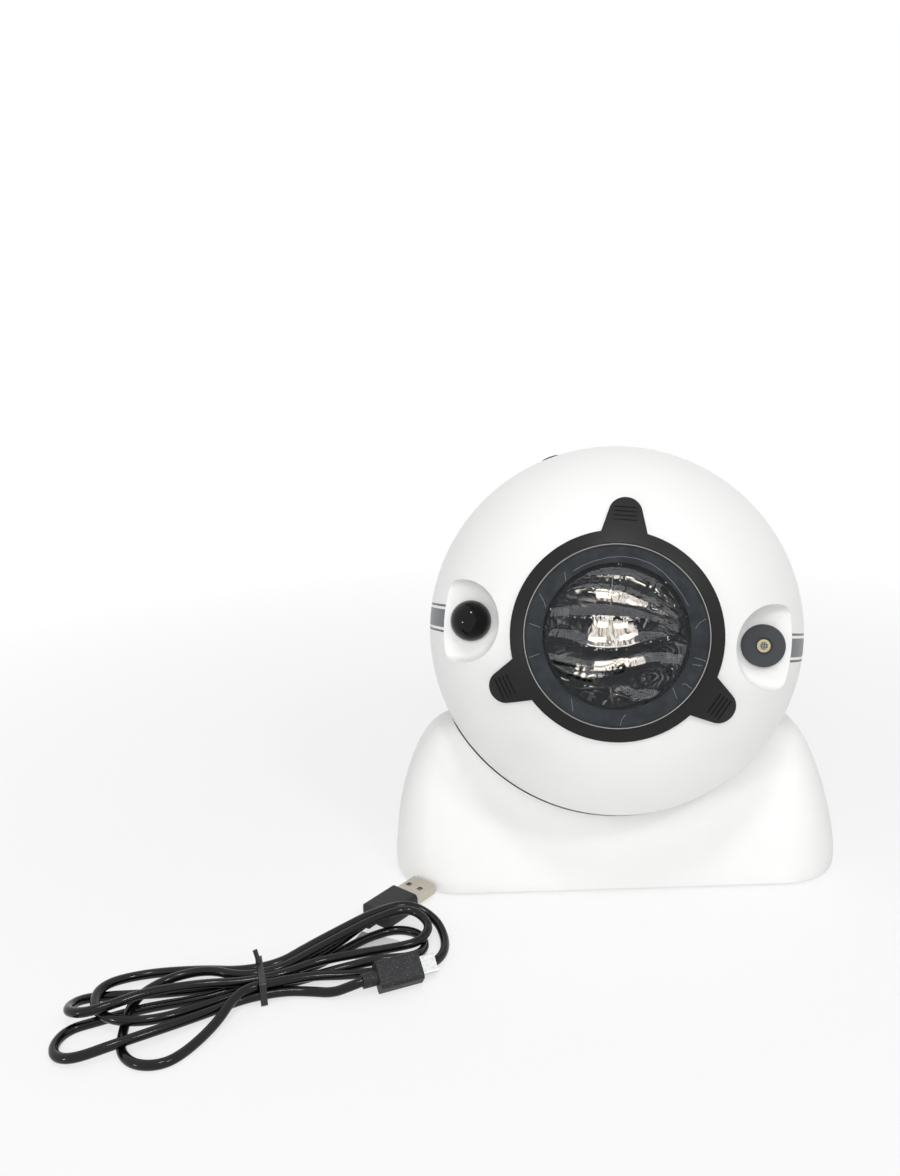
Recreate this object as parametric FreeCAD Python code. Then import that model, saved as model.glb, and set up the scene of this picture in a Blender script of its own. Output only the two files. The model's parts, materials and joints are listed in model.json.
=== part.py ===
import FreeCAD, Part
import math
import os

# Planetarium projector: a white ball with a smoked lens, two "eyes" and a three-tab
# focusing ring, resting in a white saddle base, with its own USB lead beside it.
# Millimetres.  World frame: origin on the table under the middle of the base, +Z up,
# -Y towards the viewer, +X to the viewer's right.
# The ball's own frame: origin at the ball's centre, lens looking along -Y, +Z up.
# An angle called "clock" turns clockwise round the lens axis, seen from the front, from up.

# ---------------------------------------------------------------- ball: driving sizes
BALL_RADIUS = 80.0
BALL_HEIGHT = 104.0            # ball centre above the table
SHELL_WALL = 2.2
LENS_PAN = -8.5                # degrees about +Z, negative towards -X
LENS_TILT = 14.6               # degrees above level
BALL_ROLL = 4.2                # degrees clockwise seen from the front
RUNNING_FIT = 0.08             # radial clearance of a turning or sliding fit
LOOSE_FIT = 0.2                # clearance of a part that only has to go in
SHADOW_GAP = 0.3               # gap between faces that pass each other

SEAM_LIP_LENGTH = 3.0
SEAM_LIP_WALL = 1.4
SEAM_LIP_ROOT = 3.0

POST_CIRCLE = BALL_RADIUS - 18.0  # screw posts that join the two half shells
POST_RADIUS = 4.0
POST_FACE_Y = -1.0
POST_CLOCKS = (45.0, 135.0, 225.0, 315.0)
BOSS_RADIUS = 5.0
SHELL_SCREW_HEAD_RADIUS = 2.8
SHELL_SCREW_HEAD_HEIGHT = 2.2
SHELL_SCREW_RADIUS = 1.45
SHELL_SCREW_LENGTH = 22.0
SHELL_SCREW_SEAT_Y = 9.0       # floor of the counterbore behind the seam

# ---------------------------------------------------------------- optics: driving sizes
FOCUS_OUTER_RADIUS = 39.4
FOCUS_INNER_RADIUS = 34.5
FOCUS_SKIRT_WALL = 1.8
FOCUS_PROUD = 1.6              # ring face above the ball's surface
FOCUS_SNAP_LIP = 0.9
FOCUS_SNAP_LENGTH = 1.5
COLLAR_WALL = 2.0
COLLAR_BACK_Y = 18.8 - BALL_RADIUS
TAB_CLOCKS = (0.0, 120.0, 240.0)
TAB_HEAD_RADIUS = 6.3
TAB_HEAD_CENTRE = 46.2
TAB_ROOT_HALF_WIDTH = 8.9
TAB_ROOT_DISTANCE = 37.0
GRIP_COUNT = 4
GRIP_PITCH = 1.7
GRIP_WIDTH = 0.35
GRIP_HEIGHT = 0.25
GRIP_LENGTH = 8.4

LENS_SEAT_Y = 8.5 - BALL_RADIUS
LENS_RADIUS = 26.9
LENS_EDGE = 1.2
LENS_DOME = 1.3
BEZEL_THICKNESS = 1.4
BEZEL_INNER_RADIUS = 27.0
TRIM_WIDTH = 0.9
TRIM_THICKNESS = 2.0
BARREL_WALL = 1.8
BARREL_LENGTH = 8.5
BARREL_WEB = 1.4
BARREL_WEB_INNER_RADIUS = 25.6

GEAR_MODULE = 1.0
DISC_TEETH = 60
PINION_TEETH = 15
TOOTH_TIP = 0.85               # in modules, above the pitch circle
TOOTH_ROOT = 1.2               # in modules, below the pitch circle
FLANK_ANGLE = 20.0
TOOTH_BACKLASH = 0.3
DISC_FRONT_Y = 22.0 - BALL_RADIUS
DISC_THICKNESS = 2.5
DISC_COLLAR_WALL = 1.6
DISC_COLLAR_LENGTH = 4.5

TUBE_INNER_RADIUS = GEAR_MODULE * DISC_TEETH / 2 - 2.0
TUBE_WALL = 1.6
TUBE_FLANGE_RADIUS = TUBE_INNER_RADIUS + 7.0
TUBE_FLANGE_THICKNESS = 2.0
TUBE_SCREW_CIRCLE = TUBE_INNER_RADIUS + 4.4
TUBE_SCREW_CLOCKS = (60.0, 180.0, 300.0)
TUBE_SCREW_RADIUS = 1.0
TUBE_SCREW_HEAD_RADIUS = 1.8
TUBE_SCREW_HEAD_HEIGHT = 1.4
VENT_COUNT = 8
VENT_WIDTH = 5.0
CONDENSER_FLAT_Y = 34.5 - BALL_RADIUS
CONDENSER_EDGE = 1.5
CONDENSER_DOME = 3.0
REFLECTOR_WALL = 1.0
REFLECTOR_BASE_RADIUS = 9.0
REFLECTOR_MID_RADIUS = 20.0
REFLECTOR_MOUTH_RADIUS = TUBE_INNER_RADIUS - 1.5

HEAT_SINK_RADIUS = 22.0
HEAT_SINK_PLATE = 3.0
HEAT_SINK_LENGTH = 14.0
FIN_COUNT = 7
FIN_THICKNESS = 1.6
LED_BOARD_RADIUS = 16.0
LED_BOARD_THICKNESS = 1.6
LED_SIZE = 3.5
LED_HEIGHT = 1.0
LED_OFFSET = 4.0

MOTOR_RADIUS = 7.5
MOTOR_LENGTH = 18.0
MOTOR_FRONT_Y = 28.0 - BALL_RADIUS
MOTOR_SHAFT_RADIUS = 1.0
MOTOR_BOSS_RADIUS = 2.5
MOTOR_BOSS_LENGTH = 1.2
MOTOR_BORE_DEPTH = 9.0
MOTOR_SHAFT_DEPTH = 6.0
BRACKET_PLATE = 1.8
BRACKET_RING_LENGTH = 9.0
BRACKET_RING_WALL = 2.0
PINION_EXTRA_LENGTH = 0.1

# ---------------------------------------------------------------- eyes: driving sizes
EYE_OFFSET = BALL_RADIUS - 22.2  # eye centre from the lens axis
EYE_RADIUS = 8.4
POCKET_OFFSET = BALL_RADIUS - 18.5  # pocket centre from the lens axis
POCKET_FLOOR_Y = 39.0 - BALL_RADIUS
POCKET_FLOOR_RADIUS = 16.3
POCKET_MOUTH_RADIUS = 18.0
POCKET_FILLET = 3.0
POCKET_WALL = 2.0
EYE_HOLE_RADIUS = 6.0
IR_DOME_BORE = 5.0
IR_CHIP = (5.0, 6.0, 4.6)      # width, height, depth
IR_BOARD = (14.0, 16.0, 1.2)
CAP_THICKNESS = 2.6
CAP_EDGE = 0.5
CAP_RECESS_RADIUS = 3.4
CAP_RECESS_DEPTH = 0.6
CAP_SPIGOT_LENGTH = 4.0
NOZZLE_RADIUS = 2.55
LASER_BODY_RADIUS = 4.5
LASER_BODY_LENGTH = 16.0
GRATING_RADIUS = 1.5
GRATING_THICKNESS = 0.6
GRATING_RECESS = 0.4

# ---------------------------------------------------------------- inside: driving sizes
CHASSIS_RADIUS = BALL_RADIUS - 12.0
CHASSIS_THICKNESS = 2.5
BOARD_STANDOFF = 20.0
STANDOFF_RADIUS = 3.0
MAIN_BOARD = (84.0, 56.0, 1.6)
BOARD_SCREW_X = 36.0
BOARD_SCREW_Z = 22.0
BOARD_SCREW_RADIUS = 1.2
BOARD_SCREW_HEAD_RADIUS = 2.4
BOARD_SCREW_HEAD_HEIGHT = 1.5

BUTTON_CLOCK = -24.0
BUTTON_ANGLES = {"button_power": 94.6, "button_stars": 107.1,
                 "button_clouds": 119.6, "button_timer": 132.1}
BUTTON_RADIUS = 4.2
BUTTON_PROUD = 1.7
BUTTON_TRAVEL = 0.8
BUTTON_FLANGE_RADIUS = 5.3
BUTTON_FLANGE_THICKNESS = 1.3
BUTTON_STEM_RADIUS = 1.6
FLEX_RADIUS = BALL_RADIUS - 12.0
FLEX_THICKNESS = 0.6
FLEX_HALF_WIDTH = 5.0
FLEX_RANGE = (92.0, 138.0)
FLEX_RIB_WIDTH = 1.6
FLEX_POST_ANGLES = (100.85, 125.85)
FLEX_POST_HALF_ANGLE = 1.0
FLEX_POST_HALF_WIDTH = 0.7
SWITCH_SIZE = 6.0
SWITCH_HEIGHT = 3.1
SWITCH_PLUNGER_RADIUS = 1.7
SWITCH_PLUNGER_HEIGHT = 0.6

INLET_RECESS_RADIUS = 8.0
INLET_RECESS_DEPTH = 2.4
INLET_PAD_THICKNESS = 2.0
SOCKET = (7.6, 5.6, 2.7)       # micro-USB receptacle: width, depth, height
SOCKET_WALL = 0.35
SOCKET_OPENING_GAP = 0.3
INLET_BOARD = (18.0, 16.0, 1.2)
LEDGE_WIDTH = 2.0
LEDGE_HEIGHT = 3.0

# ---------------------------------------------------------------- base: driving sizes
BASE_WALL = 2.4
BASE_RIM_Z = 1.0               # lower edge of the base shell above the table
SEAT_GAP = 0.6                 # seat surface to ball
# Height, half width and half depth of the saddle's outside.
SADDLE_SECTIONS = ((1.0, 97.4, 40.8), (9.0, 97.9, 38.4), (22.0, 96.1, 32.6),
                   (36.0, 92.6, 26.6), (49.0, 87.8, 21.4), (58.0, 82.8, 17.6),
                   (64.0, 76.6, 13.4), (66.5, 70.0, 9.5))
SADDLE_CORNER_SHARE = 0.7      # corner radius over half depth
COVER_THICKNESS = 2.5
COVER_RISE = 0.2               # cover's underside above the shell's edge
FOOT_HALF_X = 62.0
FOOT_HALF_Y = 29.0
FOOT_CORNER = 8.0
FOOT_THICKNESS = 2.0
BASE_SCREW_X = 76.0
BASE_SCREW_Y = 24.0
BASE_BOSS_RADIUS = 4.5
BASE_BOSS_TOP = 32.0
BASE_SCREW_RADIUS = 1.45
BASE_SCREW_LENGTH = 12.0
BASE_SCREW_HEAD_RADIUS = 2.8
BASE_SCREW_HEAD_HEIGHT = 1.4
WEIGHT_HALF_X = 52.0
WEIGHT_HALF_Y = 20.0
WEIGHT_SHARE = 0.47            # of the height between cover and cradle floor
SEAT_RING_RADIUS = 20.0
SEAT_RING_WIDTH = 7.0
SEAT_RING_THICKNESS = 2.5      # under the ball's lowest point
SEAT_RING_TOUCH = 0.05
SEAT_PAN_RADIUS = 26.0
SEAT_PAN_FLOOR = 2.9

# ---------------------------------------------------------------- lead: driving sizes
CORD_DIAMETER = 3.5
USB_A_NOSE = (-85.5, -37.5)    # tip of the plug on the table plan
USB_A_HEADING = 50.0           # degrees from +X towards +Y
USB_A_SHELL = (12.5, 12.0, 4.5)    # length, width, thickness
USB_A_GRIP = (17.5, 14.5, 7.5)
USB_A_WINDOW = 2.2
USB_A_TONGUE_THICKNESS = 1.9
MICRO_NOSE = (-80.6, -95.0)
MICRO_HEADING = 21.0
MICRO_ROLL = 38.0              # turned on its long axis towards the viewer
MICRO_SHELL = (6.4, 6.9, 1.85)
MICRO_GRIP = (16.5, 10.6, 7.6)
PLUG_SHELL_WALL = 0.3
PLUG_SHELL_CORNER = 0.5
PLUG_GRIP_CORNER = 1.8
RELIEF_LENGTH = 5.5
RELIEF_RADIUS = 2.7
HANK_LAYERS = 2
HANK_OUTLINE = ((-140.0, -90.5), (-122.0, -74.0), (-107.0, -62.0), (-92.0, -57.5),
                (-80.0, -61.0), (-75.5, -74.0), (-79.0, -89.0), (-100.0, -93.5),
                (-112.0, -103.5), (-130.0, -108.0), (-146.0, -112.5), (-160.0, -130.0),
                (-173.0, -142.5), (-192.0, -138.5), (-207.0, -134.0), (-211.5, -118.0),
                (-201.0, -103.0), (-186.0, -94.0), (-165.0, -91.0), (-148.0, -92.0))
HANK_EYE = ((-122.0, -85.0), (-110.0, -72.0), (-98.0, -66.5), (-91.0, -73.5),
            (-98.0, -84.0), (-111.0, -88.0))
NECK_WIDTH = 18.4
TIE_PLACE = (-144.3, -101.5)
TIE_HEADING = 15.0
TIE_WIDTH = 2.4
TIE_THICKNESS = 1.2
TIE_CORNER = 1.1
TIE_TAIL_LENGTH = 5.5
TIE_TAIL_RADIUS = 0.85
TIE_TAIL_WAY = (-0.2, 0.35, 0.85)
FLAG = (15.5, 8.0, 0.25)
FLAG_PLACE = (-104.9, -76.2)
FLAG_HEADING = 24.0

# ---------------------------------------------------------------- helpers
Vec = FreeCAD.Vector
CENTRE = Vec(0, 0, 0)
X_AXIS, Y_AXIS, Z_AXIS = Vec(1, 0, 0), Vec(0, 1, 0), Vec(0, 0, 1)
QUARTER_TURN = 90.0
BALL_PLACE = FreeCAD.Placement(
    Vec(0, 0, BALL_HEIGHT),
    FreeCAD.Rotation(Z_AXIS, LENS_PAN)
    .multiply(FreeCAD.Rotation(X_AXIS, -LENS_TILT))
    .multiply(FreeCAD.Rotation(Y_AXIS, BALL_ROLL)))

os.makedirs("parts", exist_ok=True)


def save(node, shape):
    """Write one node in the world frame."""
    solids = shape.Solids
    print(f"{node:18s} solids {len(solids):2d} volume {shape.Volume:10.1f} valid {shape.isValid()}")
    out = solids[0] if len(solids) == 1 else Part.makeCompound(solids)
    out.exportStep(f"parts/{node}.step")


def save_in_ball(node, shape):
    """Write one node drawn in the ball's own frame."""
    placed = shape.copy()
    placed.Placement = BALL_PLACE.multiply(placed.Placement)
    save(node, placed)


def fuse(shapes):
    """Join solids into one."""
    first, *rest = shapes
    return first.fuse(rest).removeSplitter() if rest else first


def rod(radius, y0, y1, x=0.0, z=0.0):
    """Cylinder along the ball's Y axis."""
    return Part.makeCylinder(radius, y1 - y0, Vec(x, y0, z), Y_AXIS)


def tube(outer, inner, y0, y1, x=0.0, z=0.0):
    """Ring along the ball's Y axis."""
    return rod(outer, y0, y1, x, z).cut(rod(inner, y0, y1, x, z))


def block(size, low):
    """Box with its lowest corner at low."""
    return Part.makeBox(size[0], size[1], size[2], Vec(*low))


def ball(radius, centre=CENTRE):
    """Sphere whose poles lie on the lens axis."""
    return Part.makeSphere(radius, centre, Y_AXIS)


def clocked(shape, degrees):
    """Turn a shape clockwise about the lens axis, seen from the front."""
    turned = shape.copy()
    turned.rotate(CENTRE, Y_AXIS, degrees)
    return turned


def at_clock(radius, degrees):
    """X and Z of a point at a clock angle round the lens axis."""
    angle = math.radians(degrees)
    return radius * math.sin(angle), radius * math.cos(angle)


def sphere_y(radius, off_axis):
    """How far in front of the centre a sphere's surface lies at a distance off the axis."""
    return math.sqrt(radius ** 2 - off_axis ** 2)


def half_shell(side):
    """Half of the hollow ball: side -1 is the front, +1 the rear."""
    hollow_ball = ball(BALL_RADIUS).cut(ball(BALL_RADIUS - SHELL_WALL))
    reach = BALL_RADIUS + SHELL_WALL
    low_y = -reach if side < 0 else 0.0
    return hollow_ball.common(block((2 * reach, reach, 2 * reach), (-reach, low_y, -reach)))


def lens_blank(radius, back_y, edge, dome):
    """Plano-convex lens: flat back, domed front towards -Y."""
    apex_y = back_y - edge - dome
    curve = (radius ** 2 + dome ** 2) / (2 * dome)
    blank = rod(radius, apex_y, back_y)
    return blank.common(ball(curve, Vec(0, apex_y + curve, 0)))


def gear_blank(teeth, y0, y1, first_tooth, backlash):
    """Straight-flanked spur gear along Y; first_tooth is a tooth's angle from +X towards +Z."""
    pitch_radius = GEAR_MODULE * teeth / 2
    tip, root = TOOTH_TIP * GEAR_MODULE, TOOTH_ROOT * GEAR_MODULE
    slope = math.tan(math.radians(FLANK_ANGLE))
    half_pitch = (GEAR_MODULE * math.pi / 2 - backlash) / 2
    corners = ((pitch_radius - root, half_pitch + root * slope),
               (pitch_radius + tip, half_pitch - tip * slope))
    points = []
    for tooth in range(teeth):
        angle = math.radians(first_tooth + tooth * 4 * QUARTER_TURN / teeth)
        flank = [(r, -w) for r, w in corners] + [(r, w) for r, w in reversed(corners)]
        for radius, offset in flank:
            x = radius * math.cos(angle) - offset * math.sin(angle)
            z = radius * math.sin(angle) + offset * math.cos(angle)
            points.append(Vec(x, y0, z))
    outline = Part.makePolygon(points + points[:1])
    return Part.Face(outline).extrude(Vec(0, y1 - y0, 0))


def rounded_outline(half_x, half_y, corner, z):
    """Closed rounded rectangle about the Z axis."""
    arc = corner * math.sqrt(0.5)
    edges = []
    for quarter, (long_half, short_half) in enumerate(
            ((half_x, half_y), (half_y, half_x), (half_x, half_y), (half_y, half_x))):
        turn = FreeCAD.Rotation(Z_AXIS, QUARTER_TURN * quarter)
        cx, cy = long_half - corner, short_half - corner
        start, middle, end = (Vec(long_half, cy, 0), Vec(cx + arc, cy + arc, 0),
                              Vec(cx, short_half, 0))
        lift = Vec(0, 0, z)
        start, middle, end = (turn.multVec(p) + lift for p in (start, middle, end))
        edges.append(Part.Arc(start, middle, end).toShape())
    lines = [Part.makeLine(edges[i].Vertexes[-1].Point, edges[(i + 1) % 4].Vertexes[0].Point)
             for i in range(4)]
    return Part.Wire([edge for pair in zip(edges, lines) for edge in pair])


def rounded_plate(half_x, half_y, corner, z0, z1):
    """Flat plate with rounded corners."""
    return Part.Face(rounded_outline(half_x, half_y, corner, z0)).extrude(Vec(0, 0, z1 - z0))


def saddle_form(inset):
    """The saddle's outer form, drawn in by inset all round and at the top."""
    squeeze = 1.0 - inset / SADDLE_SECTIONS[-1][0]
    wires = []
    for height, half_x, half_y in SADDLE_SECTIONS:
        z = height * squeeze
        corner = SADDLE_CORNER_SHARE * half_y - inset
        wires.append(rounded_outline(half_x - inset, half_y - inset, corner, z))
    return Part.makeLoft(wires, True, False)


# ---------------------------------------------------------------- base
# The saddle: a lofted white shell, hollow from below, cut by the ball's seat.
ball_centre = Vec(0, 0, BALL_HEIGHT)
seat = ball(BALL_RADIUS + SEAT_GAP, ball_centre)
seat_ring_floor_z = BALL_HEIGHT - BALL_RADIUS - SEAT_RING_THICKNESS
seat_back = ball(BALL_RADIUS + SEAT_GAP + BASE_WALL, ball_centre)
cover_low_z = BASE_RIM_Z + COVER_RISE
cover_top_z = cover_low_z + COVER_THICKNESS
outer_form = saddle_form(0.0)
hollow = saddle_form(BASE_WALL).cut(seat_back)
base_shell = outer_form.cut(hollow)
seat_pan = Part.makeCylinder(SEAT_PAN_RADIUS, BALL_HEIGHT,
                             Vec(0, 0, seat_ring_floor_z - SEAT_PAN_FLOOR))
base_shell = base_shell.fuse(seat_pan.common(outer_form))
screw_places = [(sx * BASE_SCREW_X, sy * BASE_SCREW_Y) for sx in (-1, 1) for sy in (-1, 1)]
boss_core = saddle_form(BASE_WALL / 2)
for x, y in screw_places:
    boss = Part.makeCylinder(BASE_BOSS_RADIUS, BASE_BOSS_TOP - cover_top_z, Vec(x, y, cover_top_z))
    base_shell = base_shell.fuse(boss.common(boss_core))
base_shell = base_shell.cut(seat)
groove_inner = SEAT_RING_RADIUS - SEAT_RING_WIDTH / 2 - RUNNING_FIT
groove_outer = SEAT_RING_RADIUS + SEAT_RING_WIDTH / 2 + RUNNING_FIT
ring_floor = Vec(0, 0, seat_ring_floor_z)
groove = Part.makeCylinder(groove_outer, BALL_HEIGHT, ring_floor)
groove = groove.cut(Part.makeCylinder(groove_inner, BALL_HEIGHT, ring_floor))
base_shell = base_shell.cut(groove)
screw_tip_z = cover_low_z + BASE_SCREW_HEAD_HEIGHT + BASE_SCREW_LENGTH
for x, y in screw_places:
    pilot = Part.makeCylinder(BASE_SCREW_RADIUS, screw_tip_z + LOOSE_FIT - cover_top_z,
                              Vec(x, y, cover_top_z))
    base_shell = base_shell.cut(pilot)
save("base_shell", base_shell)

# The bottom cover, its screws, the rubber foot under it and the ballast on it.
foot_top_z = FOOT_THICKNESS
cover_slab = rounded_plate(SADDLE_SECTIONS[0][1], SADDLE_SECTIONS[0][2], BASE_WALL,
                           cover_low_z, cover_top_z)
base_cover = saddle_form(BASE_WALL + LOOSE_FIT).common(cover_slab)
foot_recess = rounded_plate(FOOT_HALF_X + LOOSE_FIT, FOOT_HALF_Y + LOOSE_FIT,
                            FOOT_CORNER + LOOSE_FIT, 0.0, foot_top_z)
base_cover = base_cover.cut(foot_recess)
base_screws = []
for x, y in screw_places:
    place = Vec(x, y, cover_low_z)
    head = Part.makeCylinder(BASE_SCREW_HEAD_RADIUS, BASE_SCREW_HEAD_HEIGHT, place)
    shank = Part.makeCylinder(BASE_SCREW_RADIUS, BASE_SCREW_HEAD_HEIGHT + BASE_SCREW_LENGTH, place)
    base_screws.append(head.fuse(shank).removeSplitter())
    counterbore = Part.makeCylinder(BASE_SCREW_HEAD_RADIUS + LOOSE_FIT, BASE_SCREW_HEAD_HEIGHT,
                                    place)
    hole = Part.makeCylinder(BASE_SCREW_RADIUS + LOOSE_FIT, COVER_THICKNESS, place)
    base_cover = base_cover.cut(counterbore).cut(hole)
save("base_cover", base_cover)
save("base_screws", Part.makeCompound(base_screws))
save("foot_pad", rounded_plate(FOOT_HALF_X, FOOT_HALF_Y, FOOT_CORNER, 0.0, foot_top_z))
weight_room = seat_ring_floor_z - SEAT_PAN_FLOOR - cover_top_z
save("base_weight", rounded_plate(WEIGHT_HALF_X, WEIGHT_HALF_Y, FOOT_CORNER, cover_top_z,
                                  cover_top_z + WEIGHT_SHARE * weight_room))

# The soft ring at the bottom of the seat: the ball rests and turns on it.
seat_ring = Part.makeCylinder(groove_outer - RUNNING_FIT, BALL_HEIGHT, ring_floor)
seat_ring = seat_ring.cut(Part.makeCylinder(groove_inner + RUNNING_FIT, BALL_HEIGHT,
                                            ring_floor))
seat_ring = seat_ring.cut(ball(BALL_RADIUS + SEAT_RING_TOUCH, ball_centre))
ring_top_z = BALL_HEIGHT - sphere_y(BALL_RADIUS + SEAT_RING_TOUCH, groove_outer)
seat_ring = seat_ring.common(Part.makeCylinder(groove_outer, ring_top_z, CENTRE))
save("seat_ring", seat_ring)

# ---------------------------------------------------------------- front shell
collar_inner = FOCUS_INNER_RADIUS + FOCUS_SKIRT_WALL + RUNNING_FIT
front_shell = half_shell(-1)
outer_ball = ball(BALL_RADIUS)
core_ball = ball(BALL_RADIUS - SHELL_WALL / 2)
collar = rod(collar_inner + COLLAR_WALL, -BALL_RADIUS, COLLAR_BACK_Y).common(core_ball)
pocket_front_y = -BALL_RADIUS
pocket_depth = POCKET_FLOOR_Y - pocket_front_y
pockets = []
front_parts = [collar]
for side in (-1, 1):
    pocket = Part.makeCone(POCKET_MOUTH_RADIUS, POCKET_FLOOR_RADIUS, pocket_depth,
                           Vec(side * POCKET_OFFSET, pocket_front_y, 0), Y_AXIS)
    floor_edges = [e for e in pocket.Edges
                   if all(abs(v.Point.y - POCKET_FLOOR_Y) < SHADOW_GAP for v in e.Vertexes)]
    pockets.append(pocket.makeFillet(POCKET_FILLET, floor_edges))
    cup = rod(POCKET_MOUTH_RADIUS + POCKET_WALL, pocket_front_y, POCKET_FLOOR_Y + POCKET_WALL,
              side * POCKET_OFFSET)
    front_parts.append(cup.common(core_ball))
screw_tip_y = SHELL_SCREW_SEAT_Y - SHELL_SCREW_LENGTH
for clock in POST_CLOCKS:
    x, z = at_clock(POST_CIRCLE, clock)
    front_parts.append(rod(POST_RADIUS, -BALL_RADIUS, POST_FACE_Y, x, z).common(core_ball))
lip_outer = sphere_y(BALL_RADIUS - SHELL_WALL, SEAM_LIP_LENGTH) - RUNNING_FIT
lip_inner = lip_outer - SEAM_LIP_WALL
front_parts.append(tube(lip_outer, lip_inner, -SEAM_LIP_ROOT, SEAM_LIP_LENGTH))
lip_root = tube(BALL_RADIUS - SHELL_WALL / 2, lip_inner, -SEAM_LIP_ROOT, 0.0)
front_parts.append(lip_root.common(core_ball))
front_shell = front_shell.fuse(front_parts)
front_shell = front_shell.cut(rod(collar_inner, -BALL_RADIUS - SHELL_WALL, COLLAR_BACK_Y + SHADOW_GAP))
for side, pocket in zip((-1, 1), pockets):
    eye_hole = rod(EYE_HOLE_RADIUS, POCKET_FLOOR_Y - SHADOW_GAP,
                   POCKET_FLOOR_Y + POCKET_WALL + SHADOW_GAP, side * EYE_OFFSET)
    front_shell = front_shell.cut(pocket).cut(eye_hole)
for clock in POST_CLOCKS:
    x, z = at_clock(POST_CIRCLE, clock)
    front_shell = front_shell.cut(rod(SHELL_SCREW_RADIUS, screw_tip_y - LOOSE_FIT, POST_FACE_Y, x, z))
button_clearance = BUTTON_FLANGE_RADIUS + BUTTON_TRAVEL
first_button = math.radians(BUTTON_ANGLES["button_power"])
notch_way = Vec(0, -math.cos(first_button), math.sin(first_button))
lip_notch = Part.makeCylinder(button_clearance, BALL_RADIUS, CENTRE, notch_way)
lip_notch = lip_notch.common(block((BALL_RADIUS, BALL_RADIUS, BALL_RADIUS),
                                   (-BALL_RADIUS / 2, 0, 0)))
front_shell = front_shell.cut(clocked(lip_notch, BUTTON_CLOCK))
save_in_ball("front_shell", front_shell)

# ---------------------------------------------------------------- rear shell
def on_meridian(angle, radius):
    """Point on the meridian through the buttons, before it is clocked."""
    theta = math.radians(angle)
    return Vec(0, -radius * math.cos(theta), radius * math.sin(theta))


def radial_rod(radius, angle, r0, r1):
    """Cylinder along a radius of the ball on the buttons' meridian."""
    start, end = on_meridian(angle, r0), on_meridian(angle, r1)
    return Part.makeCylinder(radius, r1 - r0, start, end - start)


def meridian_strip(half_width, r0, r1, angle0, angle1):
    """Curved strip along the buttons' meridian."""
    flat = Part.makePolygon([Vec(-half_width, -r0, 0), Vec(half_width, -r0, 0),
                             Vec(half_width, -r1, 0), Vec(-half_width, -r1, 0),
                             Vec(-half_width, -r0, 0)])
    strip = Part.Face(flat).revolve(CENTRE, X_AXIS, -(angle1 - angle0))
    strip.rotate(CENTRE, X_AXIS, -angle0)
    return strip


rear_shell = half_shell(1)
rear_parts = []
chassis_back_y = POST_FACE_Y + CHASSIS_THICKNESS
for clock in POST_CLOCKS:
    x, z = at_clock(POST_CIRCLE, clock)
    rear_parts.append(rod(BOSS_RADIUS, chassis_back_y, BALL_RADIUS, x, z).common(core_ball))
for side in (-1, 1):
    rib = meridian_strip(FLEX_RIB_WIDTH, FLEX_RADIUS - FLEX_RIB_WIDTH, FLEX_RADIUS, *FLEX_RANGE)
    rib.translate(Vec(side * FLEX_HALF_WIDTH, 0, 0))
    rear_parts.append(clocked(rib, BUTTON_CLOCK))
    for angle in FLEX_POST_ANGLES:
        post = meridian_strip(FLEX_POST_HALF_WIDTH, FLEX_RADIUS - FLEX_RIB_WIDTH,
                              BALL_RADIUS - SHELL_WALL / 2, angle - FLEX_POST_HALF_ANGLE,
                              angle + FLEX_POST_HALF_ANGLE)
        post.translate(Vec(side * (FLEX_HALF_WIDTH + FLEX_RIB_WIDTH - FLEX_POST_HALF_WIDTH), 0, 0))
        rear_parts.append(clocked(post, BUTTON_CLOCK))
recess_floor_y = sphere_y(BALL_RADIUS, INLET_RECESS_RADIUS) - INLET_RECESS_DEPTH
inlet_pad = rod(INLET_RECESS_RADIUS + SHELL_WALL, recess_floor_y - INLET_PAD_THICKNESS, BALL_RADIUS)
rear_parts.append(inlet_pad.common(core_ball))
socket_front_y = recess_floor_y - SHADOW_GAP
socket_half_height = SOCKET[2] / 2
board_top_z = -socket_half_height
board_back_y = socket_front_y - INLET_PAD_THICKNESS
for side in (-1, 1):
    ledge_x = side * (INLET_BOARD[0] / 2 - LEDGE_WIDTH / 2) - LEDGE_WIDTH / 2
    ledge = block((LEDGE_WIDTH, BALL_RADIUS, LEDGE_HEIGHT),
                  (ledge_x, board_back_y - INLET_BOARD[1],
                   board_top_z - INLET_BOARD[2] - LEDGE_HEIGHT))
    rear_parts.append(ledge.common(core_ball))
rear_shell = rear_shell.fuse(rear_parts)
for clock in POST_CLOCKS:
    x, z = at_clock(POST_CIRCLE, clock)
    rear_shell = rear_shell.cut(rod(SHELL_SCREW_HEAD_RADIUS + LOOSE_FIT, SHELL_SCREW_SEAT_Y,
                                    BALL_RADIUS, x, z))
    rear_shell = rear_shell.cut(rod(SHELL_SCREW_RADIUS + LOOSE_FIT, chassis_back_y,
                                    SHELL_SCREW_SEAT_Y, x, z))
for angle in BUTTON_ANGLES.values():
    hole = radial_rod(BUTTON_RADIUS + RUNNING_FIT, angle, FLEX_RADIUS + SWITCH_HEIGHT,
                      BALL_RADIUS + SHELL_WALL)
    rear_shell = rear_shell.cut(clocked(hole, BUTTON_CLOCK))
rear_shell = rear_shell.cut(rod(INLET_RECESS_RADIUS, recess_floor_y, BALL_RADIUS + SHELL_WALL))
slot = block((SOCKET[0] + 2 * SOCKET_OPENING_GAP, BALL_RADIUS, SOCKET[2] + 2 * SOCKET_OPENING_GAP),
             (-SOCKET[0] / 2 - SOCKET_OPENING_GAP, socket_front_y - INLET_PAD_THICKNESS - SHADOW_GAP,
              -socket_half_height - SOCKET_OPENING_GAP))
rear_shell = rear_shell.cut(slot)
save_in_ball("rear_shell", rear_shell)

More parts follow.
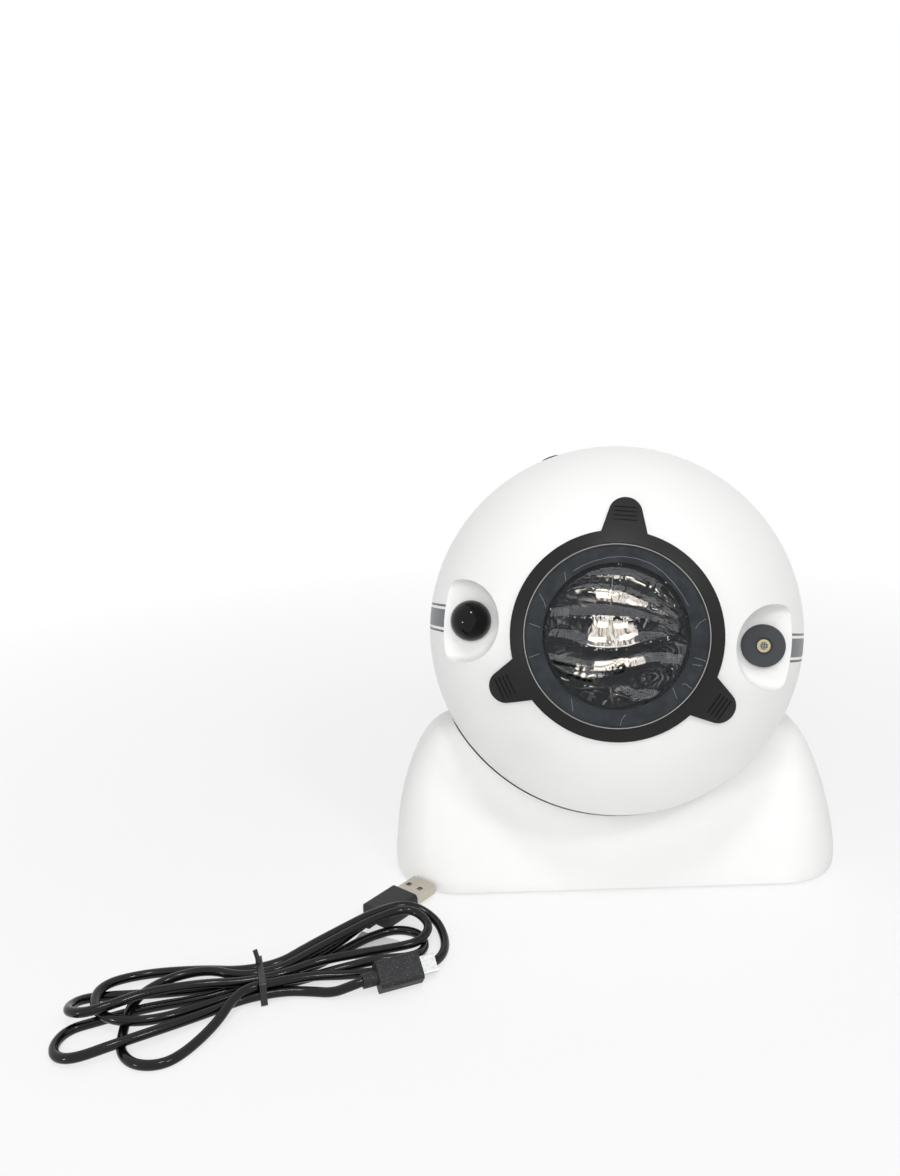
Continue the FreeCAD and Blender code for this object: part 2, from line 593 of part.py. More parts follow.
# Screws that close the ball, from behind.
shell_screws = []
for clock in POST_CLOCKS:
    x, z = at_clock(POST_CIRCLE, clock)
    head = rod(SHELL_SCREW_HEAD_RADIUS, SHELL_SCREW_SEAT_Y,
               SHELL_SCREW_SEAT_Y + SHELL_SCREW_HEAD_HEIGHT, x, z)
    shank = rod(SHELL_SCREW_RADIUS, screw_tip_y, SHELL_SCREW_SEAT_Y, x, z)
    shell_screws.append(head.fuse(shank).removeSplitter())
save_in_ball("shell_screws", Part.makeCompound(shell_screws))

# ---------------------------------------------------------------- focusing ring
# A flange that follows the ball, three tabs with grip lines, and a skirt that turns in
# the front shell's collar and snaps behind it.
ring_face_radius = BALL_RADIUS + FOCUS_PROUD
skirt_outer = FOCUS_INNER_RADIUS + FOCUS_SKIRT_WALL
cover_zone = ball(ring_face_radius).cut(ball(BALL_RADIUS + SHADOW_GAP))
flange = rod(FOCUS_OUTER_RADIUS, -ring_face_radius, COLLAR_BACK_Y)


def tab_prism():
    """One tab pointing up: a round head tangent to a wider root."""
    apart = TAB_HEAD_CENTRE - TAB_ROOT_DISTANCE
    reach = math.hypot(apart, TAB_ROOT_HALF_WIDTH)
    touch = math.atan2(TAB_ROOT_HALF_WIDTH, apart) + math.acos(TAB_HEAD_RADIUS / reach)
    touch_x = TAB_HEAD_RADIUS * math.sin(touch)
    touch_z = TAB_HEAD_CENTRE - TAB_HEAD_RADIUS * math.cos(touch)
    y = -ring_face_radius
    web = Part.makePolygon([Vec(-TAB_ROOT_HALF_WIDTH, y, TAB_ROOT_DISTANCE),
                            Vec(TAB_ROOT_HALF_WIDTH, y, TAB_ROOT_DISTANCE),
                            Vec(touch_x, y, touch_z), Vec(0, y, TAB_HEAD_CENTRE),
                            Vec(-touch_x, y, touch_z),
                            Vec(-TAB_ROOT_HALF_WIDTH, y, TAB_ROOT_DISTANCE)])
    length = ring_face_radius + COLLAR_BACK_Y + FOCUS_PROUD
    head = rod(TAB_HEAD_RADIUS, y, y + length, 0, TAB_HEAD_CENTRE)
    return head.fuse(Part.Face(web).extrude(Vec(0, length, 0)))


grip_zone = ball(ring_face_radius + GRIP_HEIGHT).cut(
    ball(ring_face_radius - SHADOW_GAP))
tabs, grips = [], []
for clock in TAB_CLOCKS:
    tabs.append(clocked(tab_prism(), clock))
    for line in range(GRIP_COUNT):
        z = TAB_HEAD_CENTRE + (line - (GRIP_COUNT - 1) / 2) * GRIP_PITCH
        line_bar = block((GRIP_LENGTH, BALL_RADIUS, GRIP_WIDTH),
                         (-GRIP_LENGTH / 2, -BALL_RADIUS - GRIP_LENGTH, z - GRIP_WIDTH / 2))
        grips.append(clocked(line_bar.common(grip_zone), clock))
flange = flange.fuse(tabs).common(cover_zone)
skirt = rod(skirt_outer, -ring_face_radius, COLLAR_BACK_Y + LOOSE_FIT + FOCUS_SNAP_LENGTH)
skirt = skirt.common(ball(ring_face_radius))
snap_y = COLLAR_BACK_Y + LOOSE_FIT
snap_lip = rod(skirt_outer + FOCUS_SNAP_LIP, snap_y, snap_y + FOCUS_SNAP_LENGTH)
focus_ring = flange.fuse([skirt, snap_lip] + grips)
focus_ring = focus_ring.cut(rod(FOCUS_INNER_RADIUS, -BALL_RADIUS - FOCUS_PROUD, 0.0))
save_in_ball("focus_ring", focus_ring)

# ---------------------------------------------------------------- lens barrel group
# The barrel slides in the focusing ring and carries the clear lens, the smoked bezel and
# the thin bright ring.
barrel_outer = FOCUS_INNER_RADIUS - RUNNING_FIT
trim_outer = barrel_outer
trim_inner = trim_outer - TRIM_WIDTH
barrel = tube(barrel_outer, barrel_outer - BARREL_WALL, LENS_SEAT_Y, LENS_SEAT_Y + BARREL_LENGTH)
barrel = barrel.fuse(tube(barrel_outer, BARREL_WEB_INNER_RADIUS, LENS_SEAT_Y,
                          LENS_SEAT_Y + BARREL_WEB)).removeSplitter()
save_in_ball("lens_barrel", barrel)
save_in_ball("front_lens", lens_blank(LENS_RADIUS, LENS_SEAT_Y, LENS_EDGE, LENS_DOME))
save_in_ball("lens_bezel", tube(trim_inner, BEZEL_INNER_RADIUS, LENS_SEAT_Y - BEZEL_THICKNESS,
                                LENS_SEAT_Y))
save_in_ball("trim_ring", tube(trim_outer, trim_inner, LENS_SEAT_Y - TRIM_THICKNESS, LENS_SEAT_Y))

# ---------------------------------------------------------------- light tube and optics
tube_outer = TUBE_INNER_RADIUS + TUBE_WALL
disc_back_y = DISC_FRONT_Y + DISC_THICKNESS
tube_front_y = disc_back_y + SHADOW_GAP
flange_y = POST_FACE_Y - TUBE_FLANGE_THICKNESS
light_tube = tube(tube_outer, TUBE_INNER_RADIUS, tube_front_y, POST_FACE_Y)
light_tube = light_tube.fuse(tube(TUBE_FLANGE_RADIUS, TUBE_INNER_RADIUS, flange_y, POST_FACE_Y))
light_tube = light_tube.removeSplitter()
vent_y = flange_y - HEAT_SINK_LENGTH + TUBE_FLANGE_THICKNESS
for vent in range(VENT_COUNT):
    cut = block((VENT_WIDTH, HEAT_SINK_LENGTH / 2, TUBE_FLANGE_RADIUS),
                (-VENT_WIDTH / 2, vent_y, TUBE_INNER_RADIUS - SHELL_WALL))
    light_tube = light_tube.cut(clocked(cut, vent * 4 * QUARTER_TURN / VENT_COUNT))
tube_screws = []
for clock in TUBE_SCREW_CLOCKS:
    x, z = at_clock(TUBE_SCREW_CIRCLE, clock)
    light_tube = light_tube.cut(rod(TUBE_SCREW_RADIUS + RUNNING_FIT, flange_y, POST_FACE_Y, x, z))
    head = rod(TUBE_SCREW_HEAD_RADIUS, flange_y - TUBE_SCREW_HEAD_HEIGHT, flange_y, x, z)
    shank = rod(TUBE_SCREW_RADIUS, flange_y, chassis_back_y, x, z)
    tube_screws.append(head.fuse(shank).removeSplitter())
save_in_ball("light_tube", light_tube)
save_in_ball("tube_screws", Part.makeCompound(tube_screws))

# The ripple disc: a clear toothed disc whose collar turns inside the light tube.
disc_collar_outer = TUBE_INNER_RADIUS - RUNNING_FIT
ripple_disc = gear_blank(DISC_TEETH, DISC_FRONT_Y, disc_back_y, -QUARTER_TURN, TOOTH_BACKLASH)
ripple_disc = ripple_disc.fuse(tube(disc_collar_outer, disc_collar_outer - DISC_COLLAR_WALL,
                                    disc_back_y, disc_back_y + DISC_COLLAR_LENGTH))
save_in_ball("ripple_disc", ripple_disc.removeSplitter())
save_in_ball("condenser_lens", lens_blank(disc_collar_outer, CONDENSER_FLAT_Y, CONDENSER_EDGE,
                                          CONDENSER_DOME))

# Heat sink, light-source board, four light sources and the reflector cup.
sink_front_y = POST_FACE_Y - HEAT_SINK_LENGTH
heat_sink = rod(HEAT_SINK_RADIUS, sink_front_y, sink_front_y + HEAT_SINK_PLATE)
fins = []
for fin in range(FIN_COUNT):
    offset = (fin - (FIN_COUNT - 1) / 2) * 2 * HEAT_SINK_RADIUS / FIN_COUNT
    half_length = math.sqrt(HEAT_SINK_RADIUS ** 2 - (abs(offset) + FIN_THICKNESS) ** 2)
    fins.append(block((FIN_THICKNESS, HEAT_SINK_LENGTH - HEAT_SINK_PLATE, 2 * half_length),
                      (offset - FIN_THICKNESS / 2, sink_front_y + HEAT_SINK_PLATE, -half_length)))
save_in_ball("heat_sink", fuse([heat_sink] + fins))
led_board_y = sink_front_y - LED_BOARD_THICKNESS
save_in_ball("led_board", rod(LED_BOARD_RADIUS, led_board_y, sink_front_y))
leds = [block((LED_SIZE, LED_HEIGHT, LED_SIZE),
              (sx * LED_OFFSET - LED_SIZE / 2, led_board_y - LED_HEIGHT,
               sz * LED_OFFSET - LED_SIZE / 2)) for sx in (-1, 1) for sz in (-1, 1)]
save_in_ball("led_chips", Part.makeCompound(leds))


def cup_profile(grow):
    """Reflector curve from its base to its mouth, drawn outwards by grow."""
    middle_y = (led_board_y + CONDENSER_FLAT_Y) / 2
    return (Vec(REFLECTOR_BASE_RADIUS + grow, led_board_y, 0),
            Vec(REFLECTOR_MID_RADIUS + grow, middle_y, 0),
            Vec(REFLECTOR_MOUTH_RADIUS + grow, CONDENSER_FLAT_Y, 0))


inner, outer = cup_profile(0.0), cup_profile(REFLECTOR_WALL)
cup_wire = Part.Wire([Part.Arc(*inner).toShape(), Part.makeLine(inner[2], outer[2]),
                      Part.Arc(*reversed(outer)).toShape(), Part.makeLine(outer[0], inner[0])])
reflector = Part.Face(cup_wire).revolve(CENTRE, Y_AXIS, 4 * QUARTER_TURN)
save_in_ball("reflector", reflector)

# The disc motor on a bracket clamped round the light tube, with its pinion.
centre_distance = GEAR_MODULE * (DISC_TEETH + PINION_TEETH) / 2
motor_z = -centre_distance
bracket_front_y = MOTOR_FRONT_Y - BRACKET_PLATE
bracket_ring_outer = tube_outer + BRACKET_RING_WALL
bracket = tube(bracket_ring_outer, tube_outer, bracket_front_y, bracket_front_y + BRACKET_RING_LENGTH)
plate = rod(MOTOR_RADIUS + BRACKET_PLATE, bracket_front_y, MOTOR_FRONT_Y, 0, motor_z)
plate = plate.cut(rod(tube_outer, bracket_front_y, MOTOR_FRONT_Y))
bracket = bracket.fuse(plate).removeSplitter()
motor_room = rod(MOTOR_RADIUS + RUNNING_FIT, MOTOR_FRONT_Y, 0.0, 0, motor_z)
bracket = bracket.cut(motor_room)
bracket = bracket.cut(rod(MOTOR_BOSS_RADIUS + RUNNING_FIT, bracket_front_y, MOTOR_FRONT_Y, 0, motor_z))
save_in_ball("motor_bracket", bracket)
motor = rod(MOTOR_RADIUS, MOTOR_FRONT_Y, MOTOR_FRONT_Y + MOTOR_LENGTH, 0, motor_z)
motor = motor.fuse(rod(MOTOR_BOSS_RADIUS, MOTOR_FRONT_Y - MOTOR_BOSS_LENGTH, MOTOR_FRONT_Y, 0, motor_z))
save_in_ball("disc_motor", motor.cut(rod(MOTOR_SHAFT_RADIUS + RUNNING_FIT,
                                         MOTOR_FRONT_Y - MOTOR_BOSS_LENGTH,
                                         MOTOR_FRONT_Y + MOTOR_BORE_DEPTH, 0, motor_z)))
pinion_gap_angle = QUARTER_TURN + 2 * QUARTER_TURN / PINION_TEETH
pinion_front_y = DISC_FRONT_Y - PINION_EXTRA_LENGTH
pinion_back_y = disc_back_y + PINION_EXTRA_LENGTH
pinion = gear_blank(PINION_TEETH, pinion_front_y, pinion_back_y, pinion_gap_angle, TOOTH_BACKLASH)
pinion.translate(Vec(0, 0, motor_z))
motor_shaft = rod(MOTOR_SHAFT_RADIUS, pinion_front_y, MOTOR_FRONT_Y + MOTOR_SHAFT_DEPTH, 0, motor_z)
save_in_ball("motor_pinion", pinion.cut(rod(MOTOR_SHAFT_RADIUS, pinion_front_y, pinion_back_y,
                                            0, motor_z)))
save_in_ball("motor_shaft", motor_shaft)

# ---------------------------------------------------------------- eyes
# Left eye as seen from the front: a glossy dark dome over the remote-control receiver.
floor_back_y = POCKET_FLOOR_Y + POCKET_WALL
dome = ball(EYE_RADIUS, Vec(-EYE_OFFSET, POCKET_FLOOR_Y, 0))
dome_box = block((2 * EYE_RADIUS, EYE_RADIUS, 2 * EYE_RADIUS),
                 (-EYE_OFFSET - EYE_RADIUS, POCKET_FLOOR_Y - EYE_RADIUS, -EYE_RADIUS))
dome = dome.common(dome_box)
dome = dome.fuse(rod(EYE_HOLE_RADIUS - RUNNING_FIT, POCKET_FLOOR_Y, floor_back_y, -EYE_OFFSET))
dome = dome.cut(ball(IR_DOME_BORE, Vec(-EYE_OFFSET, POCKET_FLOOR_Y, 0)))
dome = dome.cut(rod(IR_DOME_BORE, POCKET_FLOOR_Y, floor_back_y, -EYE_OFFSET))
save_in_ball("ir_dome", dome.removeSplitter())
save_in_ball("ir_receiver", block((IR_CHIP[0], IR_CHIP[2], IR_CHIP[1]),
                                  (-EYE_OFFSET - IR_CHIP[0] / 2, floor_back_y - IR_CHIP[2],
                                   -IR_CHIP[1] / 2)))
save_in_ball("ir_board", block((IR_BOARD[0], IR_BOARD[2], IR_BOARD[1]),
                               (-EYE_OFFSET - IR_BOARD[0] / 2, floor_back_y, -IR_BOARD[1] / 2)))

# Right eye: a matt cap round the brass nozzle of the star laser, with its grating.
cap_front_y = POCKET_FLOOR_Y - CAP_THICKNESS
cap = rod(EYE_RADIUS, cap_front_y, POCKET_FLOOR_Y, EYE_OFFSET)
front_edges = [e for e in cap.Edges
               if all(abs(v.Point.y - cap_front_y) < CAP_EDGE / 2 for v in e.Vertexes)]
cap = cap.makeFillet(CAP_EDGE, front_edges)
cap = cap.fuse(rod(EYE_HOLE_RADIUS - RUNNING_FIT, POCKET_FLOOR_Y,
                   POCKET_FLOOR_Y + CAP_SPIGOT_LENGTH, EYE_OFFSET)).removeSplitter()
cap = cap.cut(rod(CAP_RECESS_RADIUS, cap_front_y, cap_front_y + CAP_RECESS_DEPTH, EYE_OFFSET))
spigot_back_y = POCKET_FLOOR_Y + CAP_SPIGOT_LENGTH
cap = cap.cut(rod(NOZZLE_RADIUS + RUNNING_FIT, cap_front_y, spigot_back_y, EYE_OFFSET))
save_in_ball("laser_cap", cap)
laser = rod(NOZZLE_RADIUS, cap_front_y, spigot_back_y, EYE_OFFSET)
laser = laser.fuse(rod(LASER_BODY_RADIUS, spigot_back_y, spigot_back_y + LASER_BODY_LENGTH,
                       EYE_OFFSET)).removeSplitter()
grating_front_y = cap_front_y + GRATING_RECESS
laser = laser.cut(rod(GRATING_RADIUS, cap_front_y, grating_front_y + GRATING_THICKNESS, EYE_OFFSET))
save_in_ball("laser_module", laser)
save_in_ball("star_grating", rod(GRATING_RADIUS, grating_front_y,
                                 grating_front_y + GRATING_THICKNESS, EYE_OFFSET))

# ---------------------------------------------------------------- chassis and main board
chassis = rod(CHASSIS_RADIUS, POST_FACE_Y, chassis_back_y)
board_front_y = chassis_back_y + BOARD_STANDOFF
board_back = board_front_y + MAIN_BOARD[2]
board_corners = [(sx * BOARD_SCREW_X, sz * BOARD_SCREW_Z) for sx in (-1, 1) for sz in (-1, 1)]
chassis = chassis.fuse([rod(STANDOFF_RADIUS, POST_FACE_Y, board_front_y, x, z)
                        for x, z in board_corners]).removeSplitter()
main_board = block((MAIN_BOARD[0], MAIN_BOARD[2], MAIN_BOARD[1]),
                   (-MAIN_BOARD[0] / 2, board_front_y, -MAIN_BOARD[1] / 2))
board_screws = []
for x, z in board_corners:
    tip_y = board_front_y - BOARD_STANDOFF / 2
    chassis = chassis.cut(rod(BOARD_SCREW_RADIUS, tip_y - LOOSE_FIT, board_front_y, x, z))
    main_board = main_board.cut(rod(BOARD_SCREW_RADIUS + LOOSE_FIT, board_front_y, board_back, x, z))
    head = rod(BOARD_SCREW_HEAD_RADIUS, board_back, board_back + BOARD_SCREW_HEAD_HEIGHT, x, z)
    board_screws.append(head.fuse(rod(BOARD_SCREW_RADIUS, tip_y, board_back, x, z)).removeSplitter())
for clock in POST_CLOCKS:
    x, z = at_clock(POST_CIRCLE, clock)
    chassis = chassis.cut(rod(SHELL_SCREW_RADIUS + LOOSE_FIT, POST_FACE_Y, chassis_back_y, x, z))
for clock in TUBE_SCREW_CLOCKS:
    x, z = at_clock(TUBE_SCREW_CIRCLE, clock)
    chassis = chassis.cut(rod(TUBE_SCREW_RADIUS, POST_FACE_Y, chassis_back_y, x, z))
save_in_ball("chassis", chassis)
save_in_ball("main_board", main_board)
save_in_ball("board_screws", Part.makeCompound(board_screws))

# ---------------------------------------------------------------- buttons and their flex
flex = meridian_strip(FLEX_HALF_WIDTH, FLEX_RADIUS, FLEX_RADIUS + FLEX_THICKNESS, *FLEX_RANGE)
save_in_ball("button_flex", clocked(flex, BUTTON_CLOCK))
switch_top = FLEX_RADIUS + FLEX_THICKNESS + SWITCH_HEIGHT
plunger_top = switch_top + SWITCH_PLUNGER_HEIGHT
switches = []
shell_inner = BALL_RADIUS - SHELL_WALL
flange_top = math.sqrt(shell_inner ** 2 - BUTTON_FLANGE_RADIUS ** 2) - SHADOW_GAP / 2
for name, angle in BUTTON_ANGLES.items():
    body = radial_rod(SWITCH_SIZE / 2, angle, FLEX_RADIUS + FLEX_THICKNESS, switch_top)
    plunger = radial_rod(SWITCH_PLUNGER_RADIUS, angle, switch_top, plunger_top)
    switches.append(clocked(body.fuse(plunger).removeSplitter(), BUTTON_CLOCK))
    cap_rod = radial_rod(BUTTON_RADIUS, angle, flange_top - BUTTON_FLANGE_THICKNESS,
                         BALL_RADIUS + 2 * BUTTON_PROUD)
    cap_rod = cap_rod.common(ball(BALL_RADIUS + BUTTON_PROUD))
    flange_rod = radial_rod(BUTTON_FLANGE_RADIUS, angle, flange_top - BUTTON_FLANGE_THICKNESS,
                            flange_top)
    stem = radial_rod(BUTTON_STEM_RADIUS, angle, plunger_top + BUTTON_TRAVEL + SHADOW_GAP / 2,
                      flange_top)
    button = cap_rod.fuse([flange_rod, stem]).removeSplitter()
    save_in_ball(name, clocked(button, BUTTON_CLOCK))
save_in_ball("button_switches", Part.makeCompound(switches))

# ---------------------------------------------------------------- power inlet
inlet_board_low = (-INLET_BOARD[0] / 2, board_back_y - INLET_BOARD[1], board_top_z - INLET_BOARD[2])
save_in_ball("inlet_board", block(INLET_BOARD, inlet_board_low))
socket_low = (-SOCKET[0] / 2, socket_front_y - SOCKET[1], -socket_half_height)
usb_socket = block(SOCKET, socket_low)
socket_hollow = (SOCKET[0] - 2 * SOCKET_WALL, SOCKET[1], SOCKET[2] - 2 * SOCKET_WALL)
usb_socket = usb_socket.cut(block(socket_hollow, (-socket_hollow[0] / 2,
                                                  socket_front_y - SOCKET[1] + SOCKET_WALL,
                                                  -socket_hollow[2] / 2)))
save_in_ball("usb_socket", usb_socket)

# ---------------------------------------------------------------- power lead
# The lead lies unplugged in front of the base's left end: a hank of loops held in the
# middle by a twist tie, with a USB-A plug at one end and a micro-USB plug at the other.


def plug_place(nose, heading, height, roll=0.0):
    """Frame of a plug: +X to its nose, which lies at nose on the table plan."""
    turn = FreeCAD.Rotation(Z_AXIS, heading).multiply(FreeCAD.Rotation(X_AXIS, roll))
    return FreeCAD.Placement(Vec(nose[0], nose[1], height), turn)


def bar(length, width, thickness, nose_x, corner=0.0):
    """Block along X that ends at nose_x, with its long edges rounded."""
    low = (nose_x - length, -width / 2, -thickness / 2)
    shape = block((length, width, thickness), low)
    if corner:
        long_edges = [e for e in shape.Edges
                      if abs(e.Vertexes[0].Point.x - e.Vertexes[-1].Point.x) > length / 2]
        shape = shape.makeFillet(corner, long_edges)
    return shape


def sleeve(length, width, thickness, nose_x, wall, corner):
    """Thin rectangular metal sleeve, open at the nose."""
    inner = bar(length, width - 2 * wall, thickness - 2 * wall, nose_x, corner / 2)
    return bar(length, width, thickness, nose_x, corner).cut(inner)


def grip_with_relief(length, width, thickness, corner, shell_length, relief_length, relief_radius):
    """Moulded plug body with a round strain relief behind it."""
    body = bar(length, width, thickness, -shell_length, corner)
    back_x = -shell_length - length
    relief = Part.makeCylinder(relief_radius, relief_length, Vec(back_x - relief_length, 0, 0), X_AXIS)
    return body.fuse(relief).removeSplitter()


def place_all(shapes, place):
    """Put plug parts drawn in the plug's frame into the world frame."""
    for node, shape in shapes.items():
        placed = shape.copy()
        placed.Placement = place.multiply(placed.Placement)
        save(node, placed)


usb_a_place = plug_place(USB_A_NOSE, USB_A_HEADING, USB_A_GRIP[2] / 2)
usb_a_shell = sleeve(USB_A_SHELL[0], USB_A_SHELL[1], USB_A_SHELL[2], 0.0, PLUG_SHELL_WALL,
                     PLUG_SHELL_CORNER)
for side in (-1, 1):
    window = block((USB_A_WINDOW, USB_A_WINDOW, USB_A_SHELL[2]),
                   (-USB_A_SHELL[0] / 2 - USB_A_WINDOW / 2,
                    side * USB_A_SHELL[1] / 4 - USB_A_WINDOW / 2, 0))
    usb_a_shell = usb_a_shell.cut(window)
tongue_width = USB_A_SHELL[1] - 2 * PLUG_SHELL_WALL
usb_a_tongue = block((USB_A_SHELL[0] - LOOSE_FIT, tongue_width, USB_A_TONGUE_THICKNESS),
                     (-USB_A_SHELL[0], -tongue_width / 2, PLUG_SHELL_WALL - USB_A_SHELL[2] / 2))
usb_a_tongue = usb_a_tongue.common(bar(USB_A_SHELL[0], tongue_width, USB_A_SHELL[2] - 2 * PLUG_SHELL_WALL,
                                       0.0, PLUG_SHELL_CORNER / 2))
place_all({"usb_a_shell": usb_a_shell, "usb_a_tongue": usb_a_tongue,
           "usb_a_grip": grip_with_relief(*USB_A_GRIP, PLUG_GRIP_CORNER, USB_A_SHELL[0],
                                          RELIEF_LENGTH, RELIEF_RADIUS)}, usb_a_place)

roll = math.radians(MICRO_ROLL)
micro_height = (PLUG_GRIP_CORNER + (MICRO_GRIP[1] / 2 - PLUG_GRIP_CORNER) * abs(math.sin(roll))
                + (MICRO_GRIP[2] / 2 - PLUG_GRIP_CORNER) * math.cos(roll))
micro_place = plug_place(MICRO_NOSE, MICRO_HEADING, micro_height, MICRO_ROLL)
micro_shell = sleeve(MICRO_SHELL[0], MICRO_SHELL[1], MICRO_SHELL[2], 0.0, PLUG_SHELL_WALL,
                     PLUG_SHELL_CORNER)
place_all({"micro_shell": micro_shell,
           "micro_grip": grip_with_relief(*MICRO_GRIP, PLUG_GRIP_CORNER, MICRO_SHELL[0],
                                          RELIEF_LENGTH, RELIEF_RADIUS)}, micro_place)


# The hank: the outer shape of its loops, two lobes and a neck, two cords high.
def closed_prism(points, z0, z1):
    """Prism on a smooth closed outline."""
    outline = Part.BSplineCurve()
    outline.interpolate([Vec(x, y, z0) for x, y in points], PeriodicFlag=True)
    return Part.Face(Part.Wire(outline.toShape())).extrude(Vec(0, 0, z1 - z0))


hank_height = HANK_LAYERS * CORD_DIAMETER + TIE_THICKNESS
hank = closed_prism(HANK_OUTLINE, 0.0, hank_height)
hank = hank.cut(closed_prism(HANK_EYE, 0.0, hank_height))
for grip, place in ((USB_A_GRIP, usb_a_place), (MICRO_GRIP, micro_place)):
    shell_length = USB_A_SHELL[0] if grip is USB_A_GRIP else MICRO_SHELL[0]
    room = bar(grip[0] + shell_length, grip[1], grip[2], 0.0)
    room = room.fuse(Part.makeCylinder(RELIEF_RADIUS, RELIEF_LENGTH,
                                       Vec(-grip[0] - shell_length - RELIEF_LENGTH, 0, 0), X_AXIS))
    room.Placement = place
    hank = hank.cut(room)

# The twist tie round the neck, with its short tail.
tie_place = FreeCAD.Placement(Vec(*TIE_PLACE, 0), FreeCAD.Rotation(Z_AXIS, TIE_HEADING))
neck_height = hank_height - TIE_THICKNESS
tie_outer = block((TIE_WIDTH, NECK_WIDTH, neck_height + 2 * TIE_THICKNESS),
                  (-TIE_WIDTH / 2, -NECK_WIDTH / 2, 0))
tie_corners = [e for e in tie_outer.Edges if e.Length < TIE_WIDTH + SHADOW_GAP
               and abs(e.Vertexes[0].Point.x - e.Vertexes[-1].Point.x) > SHADOW_GAP]
tie_outer = tie_outer.makeFillet(TIE_CORNER, tie_corners)
tie_inner = block((TIE_WIDTH, NECK_WIDTH - 2 * TIE_THICKNESS, neck_height),
                  (-TIE_WIDTH / 2, TIE_THICKNESS - NECK_WIDTH / 2, TIE_THICKNESS))
tie_top_z = neck_height + 2 * TIE_THICKNESS
tie_tail = Part.makeCylinder(TIE_TAIL_RADIUS, TIE_TAIL_LENGTH,
                             Vec(0, NECK_WIDTH / 2 - 2 * TIE_WIDTH, tie_top_z - TIE_TAIL_RADIUS),
                             Vec(*TIE_TAIL_WAY))
cable_tie = tie_outer.cut(tie_inner).fuse(tie_tail).removeSplitter()
cable_tie.Placement = tie_place
tie_room = block((TIE_WIDTH, 3 * NECK_WIDTH, 3 * hank_height),
                 (-TIE_WIDTH / 2, -3 * NECK_WIDTH / 2, -hank_height))
tie_room = tie_room.cut(tie_inner)
tie_room.Placement = tie_place
hank = hank.cut(tie_room)
save("lead_hank", hank)
save("cable_tie", cable_tie)

# A blank paper flag on the cord, lying in the eye of the right-hand loops.
flag = block(FLAG, (-FLAG[0] / 2, -FLAG[1] / 2, 0))
flag.Placement = FreeCAD.Placement(Vec(*FLAG_PLACE, 0), FreeCAD.Rotation(Z_AXIS, FLAG_HEADING))
save("lead_flag", flag)
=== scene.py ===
# Planetarium projector: a white ball with a smoked lens lies in a white saddle-shaped base,
# and its tied-up power lead lies on the table at the front left. Metres, +Z up, the front
# of the base faces -Y.
import json
import math

import bpy
from mathutils import Matrix, Vector

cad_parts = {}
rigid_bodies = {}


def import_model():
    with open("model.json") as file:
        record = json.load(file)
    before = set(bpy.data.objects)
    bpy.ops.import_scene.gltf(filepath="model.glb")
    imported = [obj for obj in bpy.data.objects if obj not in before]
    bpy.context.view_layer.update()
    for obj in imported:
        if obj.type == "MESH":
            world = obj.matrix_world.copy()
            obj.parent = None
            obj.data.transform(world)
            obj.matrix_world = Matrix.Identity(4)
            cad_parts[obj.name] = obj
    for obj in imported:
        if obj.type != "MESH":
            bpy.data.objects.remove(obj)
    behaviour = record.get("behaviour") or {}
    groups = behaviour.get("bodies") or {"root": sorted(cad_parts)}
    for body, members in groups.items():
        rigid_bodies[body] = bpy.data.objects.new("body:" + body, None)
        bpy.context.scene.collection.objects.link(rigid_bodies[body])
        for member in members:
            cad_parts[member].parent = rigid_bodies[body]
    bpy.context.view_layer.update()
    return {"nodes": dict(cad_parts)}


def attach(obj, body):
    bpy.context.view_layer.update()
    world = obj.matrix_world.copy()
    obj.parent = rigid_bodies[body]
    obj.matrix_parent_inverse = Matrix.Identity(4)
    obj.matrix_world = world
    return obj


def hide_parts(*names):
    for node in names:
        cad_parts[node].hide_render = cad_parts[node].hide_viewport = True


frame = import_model()
nodes = frame["nodes"]
MM = 0.001
bpy.ops.object.select_all(action="DESELECT")

# ---------------------------------------------------------------- camera
# A product view from the front, a little left of the base and above the ball, looking down
# at the lead, with a small roll.
CAMERA_PLACE = (-0.0736, -0.422, 0.231)
CAMERA_TURN = math.radians(-0.4)
CAMERA_DOWN = math.radians(14.1)
CAMERA_ROLL = math.radians(-1.6)
camera_data = bpy.data.cameras.new("camera")
camera_data.lens = 30.6
camera_data.sensor_width = 36.0
camera_data.clip_start = 0.01
camera = bpy.data.objects.new("camera", camera_data)
bpy.context.scene.collection.objects.link(camera)
camera.matrix_world = (
    Matrix.Translation(CAMERA_PLACE)
    @ Matrix.Rotation(CAMERA_TURN, 4, "Z")
    @ Matrix.Rotation(math.pi / 2 - CAMERA_DOWN, 4, "X")
    @ Matrix.Rotation(CAMERA_ROLL, 4, "Z")
)
bpy.context.scene.camera = camera

# ---------------------------------------------------------------- power lead
# A metre of round black cord, soft extruded vinyl over copper strands. It is folded back and
# forth eight times through a twist tie, and its loops fan out loosely at both ends.
CORD_DIAMETER = 3.5 * MM


def linear(colour):
    """Linear red, green, blue and alpha of an sRGB hex colour."""
    shares = [int(colour[i : i + 2], 16) / 255 for i in (0, 2, 4)]
    return [s / 12.92 if s <= 0.04045 else ((s + 0.055) / 1.055) ** 2.4 for s in shares] + [1.0]


def add_node(material, kind, settings=None, links=()):
    """One shader node with its settings, and the outputs that feed its inputs."""
    node = material.node_tree.nodes.new(kind)
    for name, value in (settings or {}).items():
        if isinstance(name, int) or name in node.inputs:
            node.inputs[name].default_value = value
        else:
            setattr(node, name, value)
    for name, source in links:
        material.node_tree.links.new(source, node.inputs[name])
    return node


